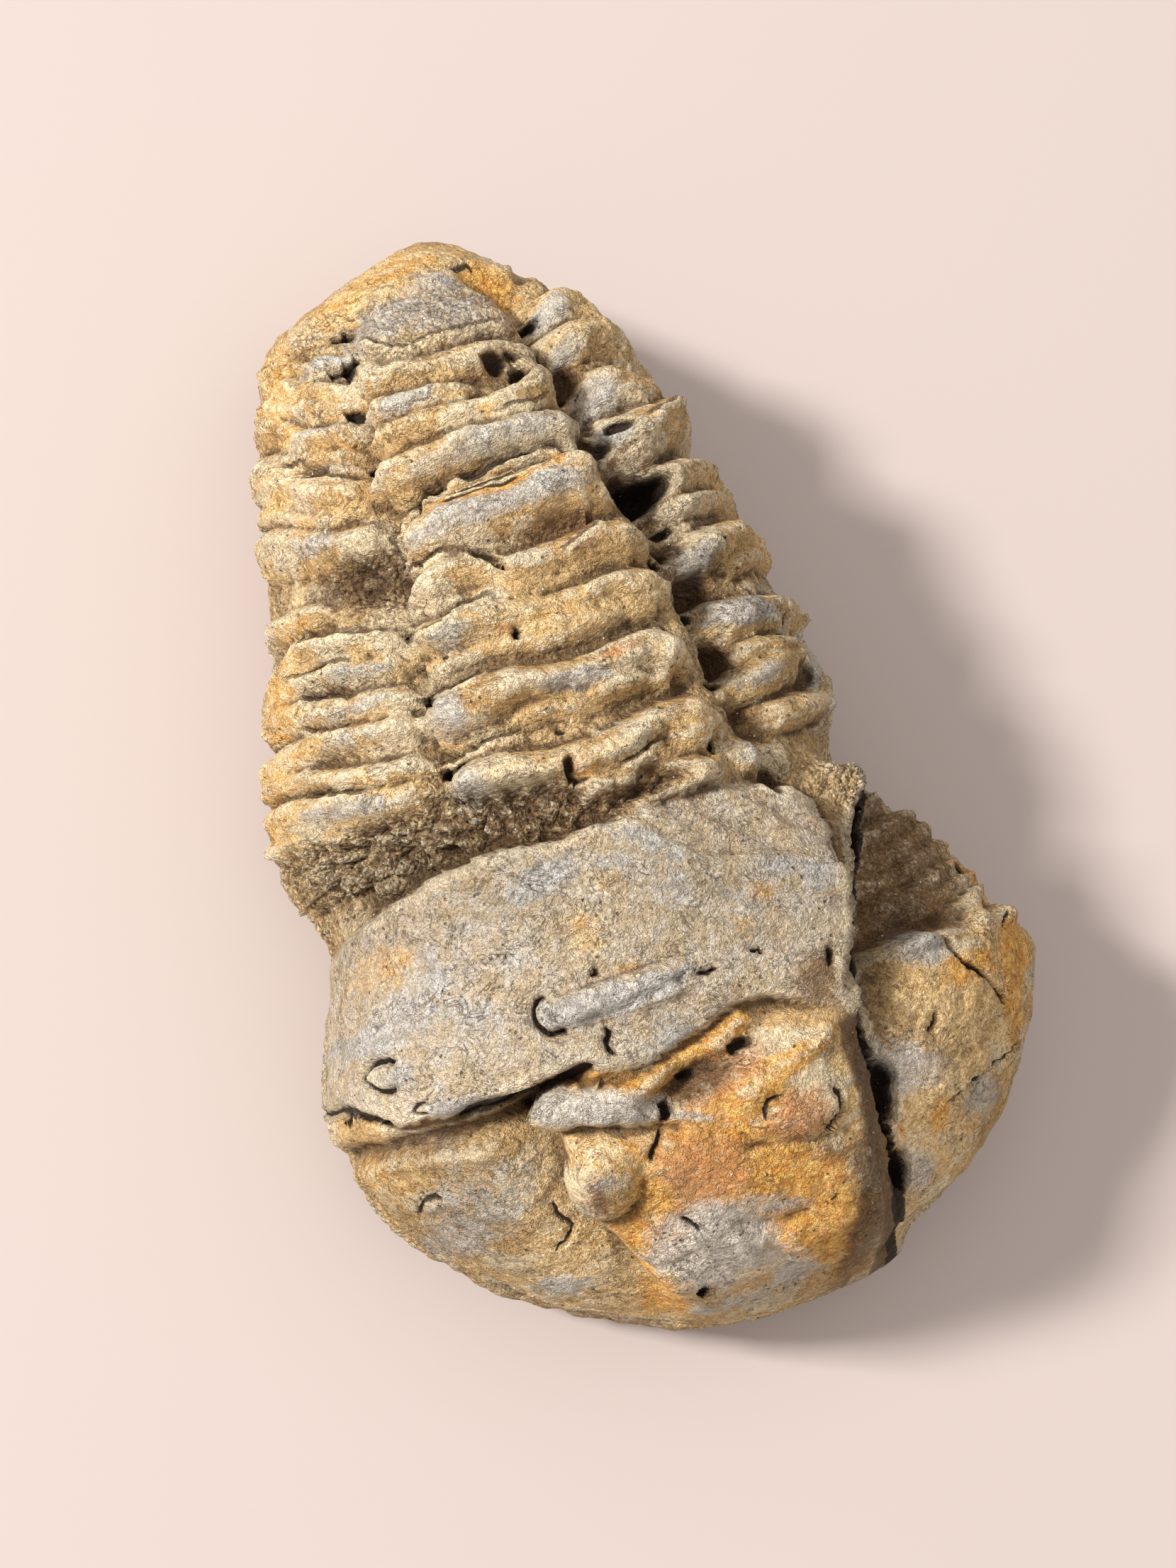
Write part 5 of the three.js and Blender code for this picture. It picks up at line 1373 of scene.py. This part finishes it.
class Limestone(Nodes):
    """The material's nodes. Its colour is what is laid on so far."""

    def __init__(self, tree):
        super().__init__(tree)
        place = self.add("ShaderNodeTexCoord").outputs["Object"]
        scaling = self.add("ShaderNodeVectorMath", {"operation": "SCALE"}, i0=place, Scale=1000.0)
        self.mm = scaling.outputs[0]
        self.ragged = make_ragged_mask()
        self.texture = self.use(make_stone_grain(), Vector=self.mm, Grit=self.read("grit"))
        self.patchy = self.noise(self.mm, scale=0.6, detail=5.0, roughness=0.75, distortion=0.6)
        self.flecks = self.noise(self.mm, scale=2.2, detail=3.0, roughness=0.8, distortion=0.3)
        lengthwise = {"i0": self.mm, "i1": (0.3, 1.0, 0.7)}
        along_ribs = self.add("ShaderNodeVectorMath", {"operation": "MULTIPLY"}, **lengthwise).outputs[0]
        self.streaks = self.noise(along_ribs, scale=1.1, detail=5.0, roughness=0.75, distortion=0.5)
        self.colour = None

    def cover(self, mask, strength, tone):
        self.colour = self.mix(self.times(mask, strength), self.colour, tone)

    def darken_by(self, factor):
        self.colour = self.mix(1.0, self.colour, factor, "MULTIPLY")

    def patches(self, fac, pair, low=0.4, high=0.6):
        return self.mix(self.step(fac, low, high), *pair)

    def stain(self, name, strength, tone, softness, scale=0.9):
        given = {"Vector": self.mm, "Mask": self.read(name), "Scale": scale, "Softness": softness}
        self.cover(self.use(self.ragged, **given)["Mask"], strength, tone)

    def wavered(self, name, fac, size):
        """A mask from the mesh whose edge wavers with a noise."""
        return self.plus(self.read(name), self.jitter(fac, size))


def lay_stone(n):
    """Bare stone, shell in thin layers, the slab and gritty ground."""
    broad = n.noise(n.mm, scale=0.16, detail=5.0, roughness=0.6, distortion=0.5)
    n.colour = n.patches(broad, BARE_STONE, 0.35, 0.65)
    n.cover(n.step(n.wavered("layer", n.streaks, 1.3), 0.5, 0.66), 0.65, SHELL)
    n.cover(n.read("slab"), 0.85, n.patches(n.patchy, SLAB_STONE, 0.42))
    n.cover(n.read("grit"), 0.65, n.patches(n.flecks, GRITTY_STONE))


def lay_stains(n):
    """Iron stains, partly painted light and shade, mottling, worn edges with painted highlight, blue-grey
    stone, and dirt with painted shade in the hollows.
    """
    n.stain("ochre", 0.85, n.patches(n.streaks, OCHRE), 0.35)
    # Sandy tone, and painted light on the right cheek
    n.stain("sand_and_painted_light", 0.85, n.patches(n.flecks, SAND_AND_PAINTED_LIGHT), 0.35)
    n.stain("orange", 0.9, n.patches(n.noise(n.mm, scale=1.2, detail=3.0, roughness=0.6), ORANGE), 0.25)
    n.stain("rust", 0.75, RUST, 0.3)
    # Brown stain, partly painted shade on faces turned from the light
    n.stain("brown", 0.8, BROWN_STAIN_AND_SHADE, 0.3)
    mottle = n.noise(n.mm, scale=1.1, detail=5.0, roughness=0.85, distortion=0.8)
    n.cover(n.step(mottle, 0.55, 0.66), 0.35, PALE_MOTTLE)
    n.cover(n.step(mottle, 0.45, 0.34), 0.4, DARK_MOTTLE)
    # Pale wear on raised edges, partly a painted highlight
    n.cover(n.step(n.wavered("edge", n.flecks, 1.0), 0.25, 0.75), 0.5, WORN_EDGE_AND_HIGHLIGHT)
    n.stain("blue_grey", 0.7, n.patches(n.patchy, BLUE_GREY), 0.3, 0.8)
    # Dirt and painted shade in hollows, shallow pits and the opened fracture
    n.cover(n.step(n.wavered("hollow", n.flecks, 0.8), 0.2, 0.85), 0.8, DIRT_AND_PAINTED_SHADE)


def lay_flakes(n):
    """A pale rim on each flake, and the painted shadow line under it, which is given back."""
    from_edge = n.wavered("from_flake", n.flecks, 0.5)
    shows = n.read("flake")
    rim = n.times(n.step(from_edge, -0.5, -0.2), n.step(from_edge, 0.03, -0.03))
    under = n.times(n.step(from_edge, 0.0, 0.05), n.step(from_edge, 0.4, 0.2))
    under = n.times(under, shows)
    n.cover(n.times(rim, shows), 0.7, FLAKE_RIM)
    n.cover(under, 0.75, FLAKE_SHADOW)
    return under


def lay_grain(n):
    """Single grains, speckle, flecks, broad painted light and shade, and painted shadow in the gaps between
    crumbs.
    """
    grain_tone = n.add("ShaderNodeSeparateColor", i0=n.cells(n.mm, 4.5, "Color")).outputs[0]
    n.darken_by(n.step(grain_tone, 0.0, 1.0, 0.9, 1.08))
    n.darken_by(n.step(n.texture["Speckle"], 0.36, 0.64, 0.86, 1.1))
    n.darken_by(n.step(n.flecks, 0.36, 0.64, 0.86, 1.08))
    # Painted light and shade in broad patches
    n.darken_by(n.read("shade"))
    crumbs = n.step(n.noise(n.mm, scale=2.0, detail=3.0, roughness=0.75), 0.46, 0.4)
    n.cover(n.times(crumbs, n.read("grit")), 0.8, CRUMB_SHADOW)


def lay_hairlines(n):
    """Fine wandering cracks in some places, and the pores of the stone."""
    winding = n.noise(n.mm, scale=0.45, detail=5.0, roughness=0.65, distortion=1.2)
    from_line = n.math("ABSOLUTE", n.minus(winding, 0.5), 0.0)
    cracked_here = n.step(n.noise(n.mm, scale=0.3, detail=3.0, roughness=0.5), 0.42, 0.55)
    hairline = n.times(n.step(from_line, 0.014, 0.004), cracked_here)
    n.cover(hairline, 0.55, HAIRLINE)
    n.cover(n.texture["Pits"], 0.8, PORE)
    return hairline


def lay_openings(n):
    """Painted shade inside holes, cracks and the open fracture. The mask of the first two is given back."""
    in_hole = n.step(n.wavered("into_hole", n.flecks, 0.35), -0.02, 0.16)
    half = n.read("crack_half")
    from_middle = n.math("ABSOLUTE", n.wavered("from_crack", n.texture["Speckle"], 0.2), 0.0)
    in_crack = n.times(n.step(n.minus(from_middle, half), 0.05, -0.06), n.step(half, 0.03, 0.07))
    in_gap = n.step(n.wavered("from_gap", n.flecks, 0.25), 0.24, 0.08)
    in_gap = n.times(in_gap, n.step(n.read("above_floor"), 5.0, 1.5))
    open_here = n.most(in_hole, in_crack)
    n.cover(n.most(open_here, in_gap), 0.92, PAINTED_SHADE_IN_OPENINGS)
    return open_here


def lay_crystals(n):
    """Single pale crystals, gathered in some places, whose near-white colour is partly a painted glint."""
    crystal = n.step(n.cells(n.mm, 1.9), 0.15, 0.09)
    gathered = n.step(n.noise(n.mm, scale=0.9, detail=2.0, roughness=0.5), 0.57, 0.62)
    sparkle = n.times(crystal, gathered)
    n.cover(sparkle, 0.9, CRYSTAL_AND_GLINT)
    return sparkle


def make_limestone():
    material = bpy.data.materials.new("weathered_limestone")
    material.use_nodes = True
    material.node_tree.nodes.clear()
    n = Limestone(material.node_tree)
    lay_stone(n)
    lay_stains(n)
    under_flakes = lay_flakes(n)
    lay_grain(n)
    hairline = lay_hairlines(n)
    open_here = lay_openings(n)
    sparkle = lay_crystals(n)

    sunk = n.most(open_here, n.times(hairline, 0.3))
    height = n.minus(n.texture["Height"], n.times(n.most(sunk, under_flakes), 0.5))
    bumps = n.add("ShaderNodeBump", Strength=1.0, Distance=0.0013, Height=height).outputs[0]
    roughness = n.minus(n.step(n.patchy, 0.3, 0.7, 0.74, 0.92), n.times(sparkle, 0.45))
    shader = n.add("ShaderNodeBsdfPrincipled", Base_Color=n.colour, Roughness=roughness, Normal=bumps)
    shader.inputs["Specular IOR Level"].default_value = 0.3
    n.add("ShaderNodeOutputMaterial", Surface=shader.outputs[0])
    return material


mesh.materials.append(make_limestone())
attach(stone, "root")
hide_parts("trilobite")


# Floor --------------------------------------------------------------------------------------------
FLOOR_HALF = 1.5
PAPER = tint(193, 179, 173)


def make_floor():
    floor_mesh = bpy.data.meshes.new("floor")
    shape = bmesh.new()
    bmesh.ops.create_grid(shape, x_segments=1, y_segments=1, size=FLOOR_HALF)
    shape.to_mesh(floor_mesh)
    shape.free()
    material = bpy.data.materials.new("pale_floor")
    material.use_nodes = True
    paper = material.node_tree.nodes["Principled BSDF"]
    paper.inputs["Base Color"].default_value = PAPER
    paper.inputs["Roughness"].default_value = 0.9
    paper.inputs["Specular IOR Level"].default_value = 0.2
    floor_mesh.materials.append(material)
    made = bpy.data.objects.new("floor", floor_mesh)
    bpy.context.scene.collection.objects.link(made)
    return made


floor = make_floor()

# Camera -------------------------------------------------------------------------------------------
# It looks down on the back, tilted this far to the left and towards the head, and is rolled
LEFTWARD = math.radians(12)
HEADWARD = math.radians(5)
ROLL = math.radians(19.5)
LENS, SENSOR_HEIGHT = 75.0, 36.0
FRAME_WIDTH, FRAME_HEIGHT = 1659, 2212
PIXELS_PER_MM = 20
TARGET = (-0.7, 2.5, 18.0)  # a place on the stone, in millimetres
TARGET_SHOWN_AT = (824, 1029)  # and the pixel of the frame where it is seen


def view_axes():
    """The directions that are right, up and towards the camera as it sees them."""
    toward = Vector((-math.sin(LEFTWARD), -math.sin(HEADWARD), 0))
    toward.z = math.sqrt(1 - toward.x**2 - toward.y**2)
    forward = -toward
    lengthwise = Vector((0, 1, 0)) - forward * forward.y
    lengthwise.normalize()
    up = lengthwise * math.cos(ROLL) + forward.cross(lengthwise) * math.sin(ROLL)
    return forward.cross(up), up, toward


def make_camera(rightward, up, toward):
    pixels_per_lens = LENS / SENSOR_HEIGHT * FRAME_HEIGHT
    distance = pixels_per_lens / PIXELS_PER_MM / 1000
    across_frame = (TARGET_SHOWN_AT[0] - FRAME_WIDTH / 2) / pixels_per_lens
    down_frame = (TARGET_SHOWN_AT[1] - FRAME_HEIGHT / 2) / pixels_per_lens
    target = Vector((TARGET[0] + BOX_SHIFT[0], TARGET[1] + BOX_SHIFT[1], TARGET[2])) / 1000
    position = target - distance * (rightward * across_frame - up * down_frame - toward)
    camera_data = bpy.data.cameras.new("camera")
    camera_data.lens = LENS
    camera_data.sensor_fit = "VERTICAL"
    camera_data.sensor_height = SENSOR_HEIGHT
    camera_data.clip_start = 0.01
    made = bpy.data.objects.new("camera", camera_data)
    bpy.context.scene.collection.objects.link(made)
    made.matrix_world = Matrix.Translation(position) @ Matrix((rightward, up, toward)).transposed().to_4x4()
    return made


rightward, up, toward = view_axes()
camera = make_camera(rightward, up, toward)
bpy.context.scene.camera = camera

# Light --------------------------------------------------------------------------------------------
LIT_PLACE = (0, 0, 0.015)
KEY_FROM = -rightward * 0.64 + up * 0.24 + toward * 0.8
OVERHEAD_FROM = (0.1, 0.1, 1)
KEY_TONE, OVERHEAD_TONE = (1, 0.985, 0.96), (1, 0.98, 0.98)
WORLD_TONE, WORLD_STRENGTH = (1, 0.96, 0.93, 1), 0.52


def soft_light(name, direction, distance, size, power, tone):
    lamp = bpy.data.lights.new(name, "AREA")
    lamp.size = size
    lamp.energy = power
    lamp.color = tone
    holder = bpy.data.objects.new(name, lamp)
    bpy.context.scene.collection.objects.link(holder)
    direction = Vector(direction).normalized()
    holder.location = Vector(LIT_PLACE) + direction * distance
    holder.rotation_euler = direction.to_track_quat("Z", "Y").to_euler()


soft_light("key", KEY_FROM, distance=1.2, size=0.18, power=20, tone=KEY_TONE)
soft_light("overhead", OVERHEAD_FROM, distance=0.9, size=1.0, power=2.6, tone=OVERHEAD_TONE)
world = bpy.data.worlds.new("studio")
bpy.context.scene.world = world
world.use_nodes = True
background = world.node_tree.nodes["Background"]
background.inputs["Color"].default_value = WORLD_TONE
background.inputs["Strength"].default_value = WORLD_STRENGTH
bpy.context.scene.view_settings.view_transform = "Standard"
bpy.context.scene.cycles.max_bounces = 4
bpy.context.scene.cycles.diffuse_bounces = 2
